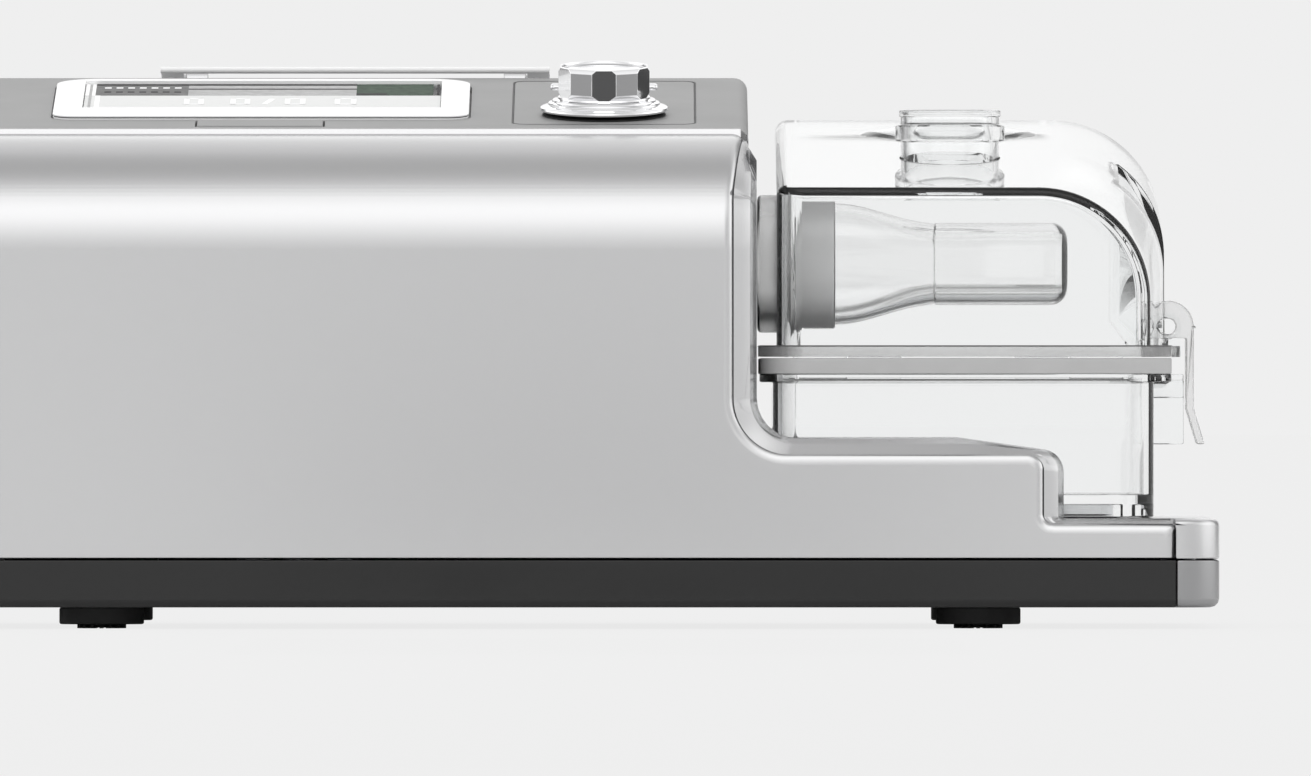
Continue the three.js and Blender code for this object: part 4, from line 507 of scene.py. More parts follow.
for node, slot in slot_of.items():
    nodes[node].data.materials.clear()
    nodes[node].data.materials.append(looks[slot])


# Repeating pieces by Geometry Nodes

def wire(tree, *pairs):
    for start, end in pairs:
        tree.links.new(start, end)


def math_node(tree, operation, *values):
    """One step of arithmetic on numbers or on other nodes' outputs."""
    made = tree.nodes.new("ShaderNodeMath")
    made.operation = operation
    for socket, value in zip(made.inputs, values):
        if isinstance(value, float):
            socket.default_value = value
        else:
            tree.links.new(value, socket)
    return made.outputs[0]


def copies_tree(name, *more):
    """A tree that sets copies of a piece on the points of a line, with the inputs asked for."""
    tree = bpy.data.node_groups.new(name, "GeometryNodeTree")
    inputs = [("Piece", "Object"), ("Count", "Int"), ("Start", "Vector"), *more, ("Material", "Material")]
    for label, kind in inputs:
        tree.interface.new_socket(label, in_out="INPUT", socket_type="NodeSocket" + kind)
    tree.interface.new_socket("Geometry", in_out="OUTPUT", socket_type="NodeSocketGeometry")
    start, end = tree.nodes.new("NodeGroupInput"), tree.nodes.new("NodeGroupOutput")
    piece, line, place, realize, paint = [tree.nodes.new("GeometryNode" + kind) for kind in (
        "ObjectInfo", "MeshLine", "InstanceOnPoints", "RealizeInstances", "SetMaterial")]
    piece.inputs["As Instance"].default_value = True
    wire(tree,
         (start.outputs["Piece"], piece.inputs["Object"]),
         (start.outputs["Count"], line.inputs["Count"]),
         (start.outputs["Start"], line.inputs["Start Location"]),
         (line.outputs["Mesh"], place.inputs["Points"]),
         (piece.outputs["Geometry"], place.inputs["Instance"]),
         (place.outputs["Instances"], realize.inputs["Geometry"]),
         (realize.outputs["Geometry"], paint.inputs["Geometry"]),
         (start.outputs["Material"], paint.inputs["Material"]),
         (paint.outputs["Geometry"], end.inputs["Geometry"]))
    return tree, start, line, place


def line_tree():
    """Copies of a piece, evenly spaced along a line."""
    tree, start, line, place = copies_tree("pieces_in_a_line", ("Step", "Vector"))
    wire(tree, (start.outputs["Step"], line.inputs["Offset"]))
    return tree


def ring_tree():
    """Copies of a piece round an upright axis, each turned to face outwards."""
    tree, start, spots, place = copies_tree("pieces_round_an_axis")
    spots.inputs["Offset"].default_value = (0, 0, 0)
    index = tree.nodes.new("GeometryNodeInputIndex")
    share = math_node(tree, "DIVIDE", index.outputs[0], start.outputs["Count"])
    spin = tree.nodes.new("ShaderNodeCombineXYZ")
    wire(tree,
         (math_node(tree, "MULTIPLY", share, 2 * math.pi), spin.inputs["Z"]),
         (spin.outputs[0], place.inputs["Rotation"]))
    return tree


def grown_by(tree, name, piece, material, **sizes):
    """Runs a tree once and keeps its result as a plain mesh."""
    made = placed(name, bpy.data.meshes.new(name))
    step = made.modifiers.new(name, "NODES")
    step.node_group = tree
    values = {"Piece": piece, "Material": material}
    values.update({key.title(): value for key, value in sizes.items()})
    for item in tree.interface.items_tree:
        if item.in_out == "INPUT":
            step[item.identifier] = values[item.name]
    baked(made)
    bpy.data.objects.remove(piece)
    return made


in_line = line_tree()
round_axis = ring_tree()


# Housing

def outset(points, distance):
    """An outline drawn in (positive) or out (negative) by a distance."""
    area = sum(points[i - 1].x * points[i].y - points[i].x * points[i - 1].y for i in range(len(points)))
    side = 1 if area > 0 else -1
    moved = []
    for i, here in enumerate(points):
        back = (here - points[i - 1]).normalized()
        on = (points[(i + 1) % len(points)] - here).normalized()
        first = Vector((-back.y, back.x)) * side
        second = Vector((-on.y, on.x)) * side
        moved.append(here + (first + second) * (distance / max(1 + first.dot(second), 0.3)))
    return moved


def soft_plate(points, low, high, rounding, segments=5):
    """A plate in X and Y with both its edges rounded."""
    turns = [math.pi / 2 * k / segments for k in range(segments + 1)]
    below = [(angle, low, 1) for angle in turns]
    above = [(angle, high, -1) for angle in reversed(turns)]
    rings = []
    for angle, level, way in below + above:
        ring = outset(points, rounding * (1 - math.sin(angle)))
        rings.append([(p.x, p.y, level + way * rounding * (1 - math.cos(angle))) for p in ring])
    return skin(rings)


def on_deck(made):
    made.data.transform(deck_place)
    return made


def rolled(height):
    """Distance along the front for a height: straight up the face, then round its bend."""
    if height <= BEND_Z:
        return height
    return BEND_Z + BEND_RADIUS * math.asin(min(1, (height - BEND_Z) / BEND_RADIUS))


def onto_front(made):
    """Bends a flat form (X, depth in Y, distance up the front in Z) onto the rolled front."""
    for vertex in made.data.vertices:
        x, depth, along = [c / MM for c in vertex.co]
        turn = min(max((along - BEND_Z) / BEND_RADIUS, 0), BEND_SWEEP)
        past = max(along - BEND_Z - BEND_RADIUS * BEND_SWEEP, 0)
        radius = BEND_RADIUS - depth
        y = FRONT + BEND_RADIUS - radius * math.cos(turn) + past * math.sin(turn)
        z = min(along, BEND_Z) + radius * math.sin(turn) + past * math.cos(turn)
        vertex.co = (x * MM, y * MM, z * MM)
    work = bmesh.new()
    work.from_mesh(made.data)
    bmesh.ops.recalc_face_normals(work, faces=work.faces)
    work.to_mesh(made.data)
    work.free()
    return made


def sliced(made, heights):
    """Cuts faces along level lines, so that a flat form can be bent smoothly."""
    work = bmesh.new()
    work.from_mesh(made.data)
    for height in heights:
        bmesh.ops.bisect_plane(work, geom=work.verts[:] + work.edges[:] + work.faces[:],
                               plane_co=(0, 0, height * MM), plane_no=(0, 0, 1))
    work.to_mesh(made.data)
    work.free()
    return made


bend_lines = [BEND_Z + BEND_RADIUS * BEND_SWEEP * k / 40 for k in range(40)]

# Outlines on the front: heights are distances up the face, widths X
BEND_TOP = BEND_Z + BEND_RADIUS * BEND_SWEEP
FLARE_START = rolled(BEND_Z + BEND_RADIUS / 2)
SHOULDER_START = rolled(103.1)
SHOULDER_END = rolled(106.1)
SHOULDER_STEP = 1.8
FASCIA_FOOT = SPLIT + 0.3
FASCIA_BORDER = 5.3
SHELF_Z = 42
SHELF_BORDER = 3.9
SHELF_BEND_X = 83.6
LEDGE_BORDER = 1.4
NOTCH_X = 106.2
NOTCH_TOP_Z = 38.9
NOTCH_BORDER = 4.6
FASCIA_GAP = 0.26
BEAD_DEPTH = 2.4
TOP_BEAD_DEPTH = 0.9
SLOPE_DEPTH = 1.3
SLOPE_WIDTH = 5.2


def fascia_path(grow, top_grow=None):
    """The fascia's outline, larger by grow on its free sides."""
    top = BEND_TOP + (grow if top_grow is None else top_grow)
    right, left = BODY_RIGHT - FASCIA_BORDER + grow, -HALF_LENGTH + FASCIA_BORDER - grow
    shelf, low = SHELF_Z - SHELF_BORDER + grow, BASE_TOP - LEDGE_BORDER + grow
    step, end = NOTCH_X - NOTCH_BORDER + grow, HALF_LENGTH - 10.0 + min(grow, 0.2)
    return corner_path([
        (left, FASCIA_FOOT), (end, FASCIA_FOOT), (end, low, 1.1), (step, low, max(2.2 - grow, 0.3)),
        (step, shelf, 3.3 + grow), (SHELF_BEND_X, shelf), (right, shelf, 12.6 - grow),
        (right, FLARE_START, 30), (right + 0.82, SHOULDER_START), (right + 1.31, SHOULDER_END),
        (right + 2.3, top, 1.3), (left - 2.3, top, 1.3), (left - 1.31, SHOULDER_END),
        (left - 0.82, SHOULDER_START), (left, FLARE_START, 30)], 14)


def sideways(a, b):
    """How much of the way from one outline to the next goes across, not up: 0 to 1."""
    return abs(b.x - a.x) / max(abs(b.x - a.x) + abs(b.y - a.y), 0.01)


def front_fascia():
    """The silver front: one sheet with a soft bead all round, bent over the top edge."""
    rings = []
    inner, outer = fascia_path(FASCIA_GAP - BEAD_DEPTH, FASCIA_GAP - TOP_BEAD_DEPTH), fascia_path(FASCIA_GAP)
    for k in range(15):
        angle = math.pi / 2 * k / 14
        row = []
        for a, b in zip(inner, outer):
            spot = a.lerp(b, math.sin(angle))
            bead = TOP_BEAD_DEPTH + (BEAD_DEPTH - TOP_BEAD_DEPTH) * sideways(a, b)
            row.append((spot.x, bead * (1 - math.cos(angle)), spot.y))
        rings.append(row)
    rings.append([(x, 2.7, z) for x, y, z in rings[-1]])
    sheet = skin(rings)
    for vertex in sheet.data.vertices:
        vertex.co.z = max(vertex.co.z, FASCIA_FOOT * MM)
    onto_front(sliced(sheet, bend_lines))
    finished(sheet, "fascia_sheet", "front_fascia", smooth=50)


def shell_path(grow, top_grow):
    """The shell's own outline behind the fascia, corner for corner as the fascia's."""
    right, left, end = BODY_RIGHT + grow, -HALF_LENGTH - grow, HALF_LENGTH - 9.8
    ledge, shelf, notch, top = BASE_TOP + grow, SHELF_Z + grow, NOTCH_X + grow, BEND_TOP + top_grow
    return corner_path([
        (left, FASCIA_FOOT), (end, FASCIA_FOOT), (end, ledge, 1.1), (notch, ledge, 0.6),
        (notch, NOTCH_TOP_Z + grow, 5), (SHELF_BEND_X, shelf), (right, shelf, 8.8),
        (right, FLARE_START, 0.1), (right, SHOULDER_START), (right - SHOULDER_STEP, SHOULDER_END),
        (right - SHOULDER_STEP, top, 1.3),
        (left + SHOULDER_STEP, top, 1.3), (left + SHOULDER_STEP, SHOULDER_END), (left, SHOULDER_START),
        (left, FLARE_START, 0.1)], 14)


def shell_with_slope():
    """The upper shell, its front edges sloped back round the fascia."""
    # Share of the way from the fascia to the shell's edge, and the depth there
    slope = [(0, SLOPE_DEPTH), (0.34, 2.5), (0.68, 3.75), (0.71, 4.1), (0.74, 5.0), (1, 9.2), (1.17, 9.8)]

    def ring(share, depth, inner, grow, top_grow, behind=0):
        row = []
        for a, b in zip(fascia_path(inner, top_grow), shell_path(grow, top_grow)):
            spot = a.lerp(b, share)
            wide = min(1, abs(b.x - a.x) / SLOPE_WIDTH)
            deep = SLOPE_DEPTH + (depth - SLOPE_DEPTH) * wide
            high = 0.5 + 0.9 * abs(b.y - a.y) * share
            row.append((spot.x, high * (1 - sideways(a, b)) + deep * sideways(a, b) + behind, spot.y))
        return row

    cutter = [ring(share, depth, 0.28, 0.05, 0.28) for share, depth in slope]
    before = [[(x, -3, z) for x, y, z in row] for row in (cutter[0], cutter[-1])]
    carve = onto_front(sliced(skin([before[0], *cutter, before[1]], looped=True), bend_lines))
    face = [ring(share, depth, 0.2, -0.15, -0.6, -0.1) for share, depth in slope[:-1]]
    back = [[(x, y + 0.9, z) for x, y, z in row] for row in reversed(face)]
    sheet = onto_front(sliced(skin(face + back, looped=True), bend_lines))
    keep = rounded_edges(tidy_faces(copy_of("upper_shell")), 0.35, 2)
    combine(keep, [carve], "DIFFERENCE", "MANIFOLD")
    finished(gathered([keep, sheet], "shell"), "upper_shell_skin", "upper_shell", smooth=40)


def fascia_bead():
    """The polished top edge of the fascia, in front of the deck."""
    outline = corner_path([(-63.4, 108.0, 0.1), (-61.95, 108.0, 0.1), (-61.95, 110.28, 0.15),
                           (-62.6, 110.28, 0.25)], 5)
    bead = swept(outline, "X", -HALF_LENGTH + 0.3, BODY_RIGHT - 3.4)
    extra(rounded_edges(bead, 0.3, 3, 60), "fascia_top_bead", "silver")


dressed("front_strip", 0.25)
fascia_bead()
front_fascia()
shell_with_slope()
for node, rounding in (("lower_shell", 0.35), ("carry_handle", 0), ("deck_panel", 0.3), ("knob_inset", 0.25),
                       ("display_button", 0.2), ("filter_frame", 0.3), ("power_inlet", 0.3)):
    dressed(node, rounding)


def rubber_feet():
    """Each foot: a stepped rubber button with a ring of small treads under it."""
    for place, x, y in (("front_left", -105.9, -63), ("front_right", 87.5, -63),
                        ("rear_left", -105.9, 63), ("rear_right", 87.5, 63)):
        button = turned([(0, 0.9), (8.9, 0.9), (9.2, 1.0), (9.35, 1.3), (9.35, 4.2), (9.2, 4.5), (8.9, 4.7),
                         (0, 4.7)], x, y, 72)
        tread = swept(rounded_rectangle(3.3, 5.4, -0.4, 0.4, 0.2, 3), "Z", 0, 1.1)
        treads = grown_by(round_axis, "treads", tread, looks["rubber_black"], count=16,
                          start=metres(x, y, 0))
        hub = turned([(0, 0.15), (4.1, 0.15), (4.3, 0.35), (4.3, 1.2), (0, 1.2)], x, y, 48)
        finished(join(button, treads, hub), "rubber_foot_" + place, "foot_" + place)


def base_screws():
    """Pan head screws with a cross recess, sunk into the base."""
    long, short = 1.9, 0.32
    for number, x, y in ((1, -134.2, -58), (2, 134.2, -58), (3, -134.2, 58), (4, 134.2, 58)):
        screw = turned([(0, 5.1), (2.3, 5.1), (2.7, 5.25), (2.95, 5.6), (3.0, 6.5), (1.5, 6.5), (1.5, 18.8),
                        (1.1, 19.2), (0, 19.2)], x, y, 48)
        across, along = [swept(rounded_rectangle(x - a, x + a, y - b, y + b, 0.1, 2), "Z", 4, 5.9)
                         for a, b in ((long, short), (short, long))]
        finished(cut(screw, across, along), "pan_screw_" + str(number), "base_screw_" + str(number))


def filter_flap():
    """The louvred flap over the air filter: a frame with slanted slats."""
    x0, x1, low, high, front, back = -114.7, -69.3, 34.9, 74.3, 82.5, 84.7
    flap = swept(rounded_rectangle(x0, x1, low, high, 1.2, 6), "Y", front, back)
    opening = rounded_rectangle(x0 + 4, x1 - 4, low + 5.1, high - 4, 1.5, 6)
    cut(flap, swept(opening, "Y", front - 1, back + 1))
    slat = swept([(front + 0.1, 0.5), (back - 0.1, -1.3), (back - 0.1, -0.1), (front + 0.1, 1.7)],
                 "X", x0 + 3.5, x1 - 3.5)
    slats = grown_by(in_line, "slats", slat, looks["lower_shell"], count=7,
                     start=metres(0, 0, 42.0), step=metres(0, 0, 4.5))
    join(flap, slats)
    cut(flap, swept(ring_of(83.6, 36.0, 0.9, 24), "X", x0 - 1, x1 + 1))
    finished(rounded_edges(tidy_faces(flap), 0.15, 2), "filter_flap", "filter_door")


def impeller_wheel():
    """Backward-curved blades on a dished disc."""
    x, y, low = -19.0, 14.0, 72.6
    profile = [(2.3, 0), (27, 0), (27, 1.2), (26.5, 1.5), (10, 2.6), (7, 5), (5.2, 11.6), (4.8, 12),
               (2.3, 12)]
    disc = turned([(r, low + h) for r, h in profile], x, y, 96)
    spine = [Vector((6 + 20.5 * k / 12, 5.5 * math.sin(math.pi * k / 24) ** 2)) for k in range(13)]
    thick = Vector((0, 0.6))
    outline = [p + thick for p in spine] + [p - thick for p in reversed(spine)]
    blade = swept(outline, "Z", low + 0.8, low + 10)
    blades = grown_by(round_axis, "blades", blade, looks["dark_plastic"], count=11, start=metres(x, y, 0))
    cap = turned([(0, low + 10.4), (3.0, low + 10.4), (3.0, low + 12), (0, low + 12)], x, y, 48)
    join(disc, blades)
    cut(disc, box_solid(x - 40, x + 40, y - 40, y + 40, low + 12.01, low + 30))
    finished(join(disc, cap), "impeller_wheel", "impeller")


def board_parts():
    """Rows of small parts soldered to the main board."""
    top = 13.1
    resistor = box_solid(-0.8, 0.8, -0.45, 0.45, 0, 0.6)
    pin = swept(ring_of(0, 0, 0.4, 12), "Z", 0, 5)
    can = turned([(0, 0), (3.8, 0), (4, 0.3), (4, 0.9), (3.7, 1.1), (4, 1.4), (4, 8.6), (3.6, 9), (0, 9)],
                 0, 0, 48)
    for piece, name, slot, count, x, y, step in (
            (resistor, "resistor_row", "dark_plastic", 14, -78, -67.5, 2.6),
            (pin, "header_pins", "steel", 10, -38, -35.5, 2.54),
            (can, "capacitor_row", "aluminium", 3, -72, -62, 10)):
        row = grown_by(in_line, name, piece, looks[slot], count=count, start=metres(x, y, top),
                       step=metres(step, 0, 0))
        extra(row, name, slot)


rubber_feet()
base_screws()
filter_flap()
impeller_wheel()
board_parts()


# Display and knob

BEZEL_HALF = 46.1
BEZEL_NEAR = 17.2
BEZEL_BORDER = 8.9
WINDOW_HALF = 39.65
WINDOW_NEAR = 33.5
WINDOW_BORDER = 13.2


def bezel_path(grow=0.0):
    """The frame's outline on the deck, with its back corners rounder than its front ones."""
    x0, x1 = DISPLAY_X - BEZEL_HALF - grow, DISPLAY_X + BEZEL_HALF + grow
    y0, y1 = BEZEL_NEAR - grow, DECK_LENGTH - BEZEL_BORDER + grow
    near, far = 5 + grow, 10 + grow
    return corner_path([(x0, y0, near), (x1, y0, near), (x1, y1, far), (x0, y1, far)], 16)


def window_path(grow=0.0):
    x0, x1 = DISPLAY_X - WINDOW_HALF - grow, DISPLAY_X + WINDOW_HALF + grow
    return rounded_rectangle(x0, x1, WINDOW_NEAR - grow, DECK_LENGTH - WINDOW_BORDER + grow, 0.6, 4)


def display_frame():
    """The raised gloss white frame round the display, with a soft front roll."""
    plate = soft_plate(bezel_path(), 0.42, 0.85, 0.2)
    base = soft_plate(bezel_path(-0.1), -1.45, 0.22, 0.1)
    neck = soft_plate(bezel_path(-0.6), 0.1, 0.6, 0.05)
    opening = swept(window_path(0.1), "Z", -4, 4)
    made = on_deck(rounded_edges(cut(join(plate, base, neck), opening), 0.08, 2, 60))
    finished(made, "display_frame", "display_bezel")
    # A dark band in the groove between the frame's plate and its base, standing for the shade in that gap:
    # painted shade.
    seam = cut(soft_plate(bezel_path(-0.3), 0.2, 0.44, 0.05), swept(bezel_path(-0.62), "Z", -1, 2))
    extra(on_deck(seam), "display_seam", "dark_plastic")


def zero_figure(x, width):
    """A nought as six flat bars."""
    y, height, stroke = 46, 12, 1.2
    half = height / 2
    bars = [(0, height - stroke, width, height), (width - stroke, half, width, height),
            (width - stroke, 0, width, half), (0, 0, width, stroke), (0, 0, stroke, half),
            (0, half, stroke, height)]
    return [box_solid(x + x0, x + x1, y + y0, y + y1, 0.05, 0.1) for x0, y0, x1, y1 in bars]


def display_screen():
    """What the screen shows: a dark status bar over a pale field with figures."""
    pale = flat_print("screen_pale", (0.76, 0.765, 0.76), (0.78, 0.785, 0.78))
    bar_grey = flat_print("screen_bar", grey(0.40), grey(0.52))
    middle_grey = flat_print("screen_middle_grey", grey(0.14), grey(0.2))
    dark = flat_print("screen_dark", grey(0.03), grey(0.05))
    green = flat_print("screen_green", (0.035, 0.055, 0.04), (0.07, 0.11, 0.075))
    white = flat_print("screen_white", grey(0.97), grey(0.99))
    left, right = DISPLAY_X - 39.6, DISPLAY_X + 39.6
    near, middle, bar_near, far = 33.6, 63.6, 63.7, 85.6
    border, bar_left, bar_right = left + 2.3, left + 22.9, right - 18.8
    # Name, ink, height and boxes (left, right, near, far) of each printed field
    for name, ink, level, boxes in (
            ("field", pale, 0.02, [(left, right, near, middle)]),
            ("border", white, 0.05, [(left, border, middle, far), (border, left + 3.4, near, middle)]),
            ("status_bar", bar_grey, 0.03, [(bar_left, bar_right, bar_near, far)]),
            ("status_left", middle_grey, 0.06, [(border, bar_left, bar_near, far)]),
            ("edge_mark", bar_grey, 0.08, [(left + 0.9, left + 1.5, 40, 85.0)]),
            ("rules", dark, 0.09, [(border, bar_right, 83.0, far), (bar_left, bar_right, 75.2, 76.8),
                                   (bar_right, right - 12, 64.6, 67.8), (right - 0.9, right - 0.3, 66, 85)]),
            ("signal_patch", green, 0.06, [(bar_right, right - 1.7, bar_near, far)])):
        marks = [box_solid(*box, level, level + 0.02) for box in boxes]
        extra(on_deck(gathered(marks, name)), "screen_" + name, "display_glass", look=ink)
    for row, ink, y in (("back", white, 77.0), ("front", dark, 69.0)):
        dash = box_solid(0, 1.5, 0, 2.2, 0.09, 0.12)
        dashes = grown_by(in_line, "dashes", dash, ink, count=7, start=metres(left + 4.2, y, 0),
                          step=metres(2.6, 0, 0))
        extra(on_deck(dashes), "screen_dashes_" + row, "display_glass", look=ink)
    figures = []
    for x, width in ((-88.5, 4.4), (-78.2, 4.4), (-66.1, 4.6), (-55.0, 4.8)):
        figures += zero_figure(x, width)
    figures.append(swept([(-71.2, 47), (-69.9, 47), (-68.2, 57), (-69.5, 57)], "Z", 0.05, 0.1))
    figures += [box_solid(x0, x1, 36.5, 40.5, 0.05, 0.1) for x0, x1 in ((-88.1, -73.3), (-68.7, -51.3))]
    extra(on_deck(gathered(figures, "figures")), "screen_figures", "display_glass", look=white)


def clipped(made, planes):
    """Cuts a closed form by planes (point, normal) and closes each cut."""
    work = bmesh.new()
    work.from_mesh(made.data)
    for point, normal in planes:
        result = bmesh.ops.bisect_plane(work, geom=work.verts[:] + work.edges[:] + work.faces[:],
                                        plane_co=point, plane_no=normal, clear_outer=True)
        rim = [e for e in result["geom_cut"] if isinstance(e, bmesh.types.BMEdge)]
        if rim:
            bmesh.ops.edgenet_fill(work, edges=rim)
    bmesh.ops.recalc_face_normals(work, faces=work.faces)
    work.to_mesh(made.data)
    work.free()
    return made


def chrome_knob():
    """A bell skirt with fine steps under a twelve-sided grip, every other side chamfered."""
    x, y, grip_radius, lug_at = KNOB_X, KNOB_FROM_FRONT, 10.1, 10.6
    skirt = turned([
        (0, 0.9), (13.3, 0.9), (13.8, 0.95), (14.1, 1.15), (14.2, 1.5), (14.1, 1.85), (13.75, 2.1),
        (13.1, 2.3), (12.55, 2.42), (12.4, 2.55), (12.38, 2.8), (12.25, 2.95), (11.7, 3.05), (11.5, 3.15),
        (11.45, 3.45), (11.3, 3.6), (10.7, 3.7), (10.4, 3.85), (10.2, 4.2), (0, 4.2)], x, y, 144)
    grip = swept(ring_of(x, y, grip_radius / math.cos(math.pi / 12), 12), "Z", 3.6, 11.0)
    planes = []
    for i in range(6):
        around = math.radians(30 + 60 * i - 90)
        out = Vector((math.cos(around), math.sin(around), 0))
        for level, rise, tilt in ((10.15, 1, math.radians(29)), (5.3, -1, math.radians(34))):
            normal = out * math.cos(tilt) + Vector((0, 0, rise)) * math.sin(tilt)
            planes.append(((Vector((x, y, level)) + out * grip_radius) * MM, normal))
    clipped(grip, planes)
    cut(grip, turned([(0, 10.35), (8.9, 10.35), (9.2, 10.5), (9.35, 10.8), (9.4, 12), (0, 12)], x, y, 96))
    rounded_edges(grip, 0.09, 2, 10)
    join(skirt, grip)
    for middle in (x - lug_at, x + lug_at):
        lug = rounded_rectangle(middle - 1.3, middle + 1.3, y - 1.6, y + 1.6, 0.9, 6)
        join(skirt, soft_plate(lug, 5.6, 7.0, 0.6))
    cut(skirt, swept(ring_of(x, y, 3.3, 64), "Z", -1, 8.2))
    finished(on_deck(skirt), "chrome_knob", "knob", smooth=28)


def knob_gasket():
    """A dark ring under the knob's skirt that fills the gap there and stands for its shade: painted shade.
    """
    ring = turned([(4.9, 0.05), (13.5, 0.05), (13.7, 0.15), (13.7, 0.25), (13.5, 0.35), (4.9, 0.35)],
                  KNOB_X, KNOB_FROM_FRONT, 96)
    finished(on_deck(ring), "knob_gasket", "knob_ring")


def inset_seam():
    """The fine seam round the knob's plate."""
    rim = swept(rounded_rectangle(-15.4, 25.2, 7.3, 92.9, 3.4), "Z", 0.01, 0.03)
    cut(rim, swept(rounded_rectangle(-15.15, 24.95, 8.4, 91.7, 2.9), "Z", -1, 1))
    extra(on_deck(rim), "inset_seam", "dark_plastic")


display_frame()
inset_seam()
display_screen()
chrome_knob()
knob_gasket()


# Water tank

LID_LEFT = TANK_LEFT + 0.8
LID_RIGHT = TANK_RIGHT + 3.4
LID_BULGE = 4.2
LID_SHOULDER = 24.6
RIM_WIDTH = 2.9
SOCKET_RADIUS = 13.5
SLOT_HALF_WIDTH = 13
SLOT_HALF_HEIGHT = 9.15


def lid_section(y, inset, bottom):
    """The lid's outline across the tank at a depth: it widens to the middle and rises to the back."""
    t = min(max((y - TANK_FRONT) / (TANK_MID - TANK_FRONT), 0), 1)
    right = TANK_RIGHT - 0.8 + LID_BULGE * t * t * (3 - 2 * t) - inset
    left = LID_LEFT + inset
    top = LID_FRONT_Z + (y - TANK_FRONT) * LID_RISE - inset
    path = corner_path([(left, bottom), (right, bottom), (right, top, LID_SHOULDER - inset),
                        (left, top, max(2.6 - inset, 0.5))], 30)
    return [(p.x, y, p.y) for p in path]


def lid_form(inset, bottom):
    """A closed hull of the lid: flat front and back, rolled edges, bulging to the right."""
    front, back, roll = TANK_FRONT + inset, TANK_BACK - inset, 1.3
    turns = [math.pi / 2 * k / 7 for k in range(8)]
    edge = [(roll * (1 - math.cos(a)), roll * (1 - math.sin(a))) for a in turns]
    rings = [lid_section(front + along, inset + drop, bottom) for along, drop in edge]
    for k in range(1, 26):
        rings.append(lid_section(front + roll + (back - front - 2 * roll) * k / 26, inset, bottom))
    rings += [lid_section(back - along, inset + drop, bottom) for along, drop in reversed(edge)]
    plan = rounded_rectangle(LID_LEFT + inset, LID_RIGHT - inset, front, back, 6 - inset, 16)
    return common(skin(rings), swept(plan, "Z", bottom, 140))


def latch_room(grow):
    """The recess in the lid that the latch stands in."""
    face, floor = LID_RIGHT - 10.4 - grow, LID_TOP_Z - grow
    return swept([(face, 140), (face, LID_TOP_Z + 5.6), (face + 5.6, floor), (160, floor), (160, 140)],
                 "Y", TANK_MID - 15 - grow, TANK_MID + 15 + grow)


def lid_with_brow():
    """The lid, with the low brow behind the air outlet that runs out into its slope."""
    made = cut(lid_form(0, LID_TOP_Z - 0.05), latch_room(0))
    cut(made, cut(lid_form(2, LID_TOP_Z - 5), latch_room(2)))
    x, y = OUTLET
    cut(made, swept(ring_of(x, y, 11.2, 96), "Z", LID_TOP_Z + 5, 150))
    cut(made, swept(ring_of(TANK_MID, DUCT_Z, 11, 64), "X", TANK_LEFT - 4, TANK_LEFT + 3.8))
    rim, ears = tidy_faces(copy_of("tank_lid")), tidy_faces(copy_of("tank_lid"))
    common(rim, box_solid(0, 160, -100, 100, 50, LID_TOP_Z - 0.02))
    common(ears, box_solid(TANK_RIGHT + 1.2, 160, TANK_MID - 9, TANK_MID + 9, LID_TOP_Z - 0.4, 75))
    join(made, rim, ears)
    rings = []
    for behind, half, rise in ((36, 14.0, -0.6), (38, 20.5, 1.1), (41, 23.5, 2.2), (47, 24.0, 1.7),
                               (56, 22.0, 0.5), (64, 17.0, -0.6)):
        along = y + behind
        base = LID_FRONT_Z + (along - TANK_FRONT) * LID_RISE
        ring = [(x - half, along, base - 1.3), (x + half, along, base - 1.3)]
        for k in range(17):
            across = 1 - k / 8
            ring.append((x + half * across, along, base - 0.9 + (rise + 0.9) * (1 - abs(across) ** 2.2)))
        rings.append(ring)
    join(made, skin(rings))
    finished(made, "clear_lid", "tank_lid", smooth=40)


def lid_rim_edge():
    """The moulded edge of the lid's rim: a hazy band under a thin dark line, painted along the top edge for
    the dark edge that clear plastic shows there: painted reflection.
    """
    def outline(out):
        return rounded_rectangle(TANK_LEFT - out, TANK_RIGHT + 1.1 + out, TANK_FRONT - out, TANK_BACK + out,
                                 6 + out, 12)

    def hoop(grow, low, high):
        outer, inner = outline(RIM_WIDTH + grow), outline(RIM_WIDTH - 0.2)
        rows = ((outer, low), (outer, high), (inner, high), (inner, low))
        return skin([[(p.x, p.y, z) for p in row] for row, z in rows], looped=True)

    band = milky_plastic("rim_edge_band", 0.95, 0.85, 0.2)
    # The dark line is painted reflection: it stands for the dark edge that the clear rim shows by
    # refraction.
    line = milky_plastic("rim_dark_edge_line", 0.12, 0.3, 0.3)
    extra(hoop(0.05, LID_Z + 0.1, LID_TOP_Z - 0.3), "lid_rim_band", "clear_plastic", "lid", band)
    extra(hoop(0.08, LID_TOP_Z - 0.28, LID_TOP_Z + 0.02), "lid_rim_line", "clear_plastic", "lid", line)


def air_outlet():
    """The conical hose connector with its collar and rim."""
    top = OUTLET_FOOT + 10.6
    profile = [(9.7, -15.6), (10.9, -15.6), (10.9, -7.2), (11.3, -7.1), (12.0, -6.9), (12.2, -6.6),
               (12.2, -3.7), (12.0, -3.45), (11.2, -3.3), (10.95, -3.1), (10.9, -1.6), (11.15, -1.45),
               (11.3, -1.2), (11.3, -0.35), (11.15, -0.1), (10.9, 0), (10.3, 0), (9.9, -0.25), (9.7, -0.7)]
    finished(turned([(r, top + h) for r, h in profile], *OUTLET, 128), "air_outlet", "outlet_port")


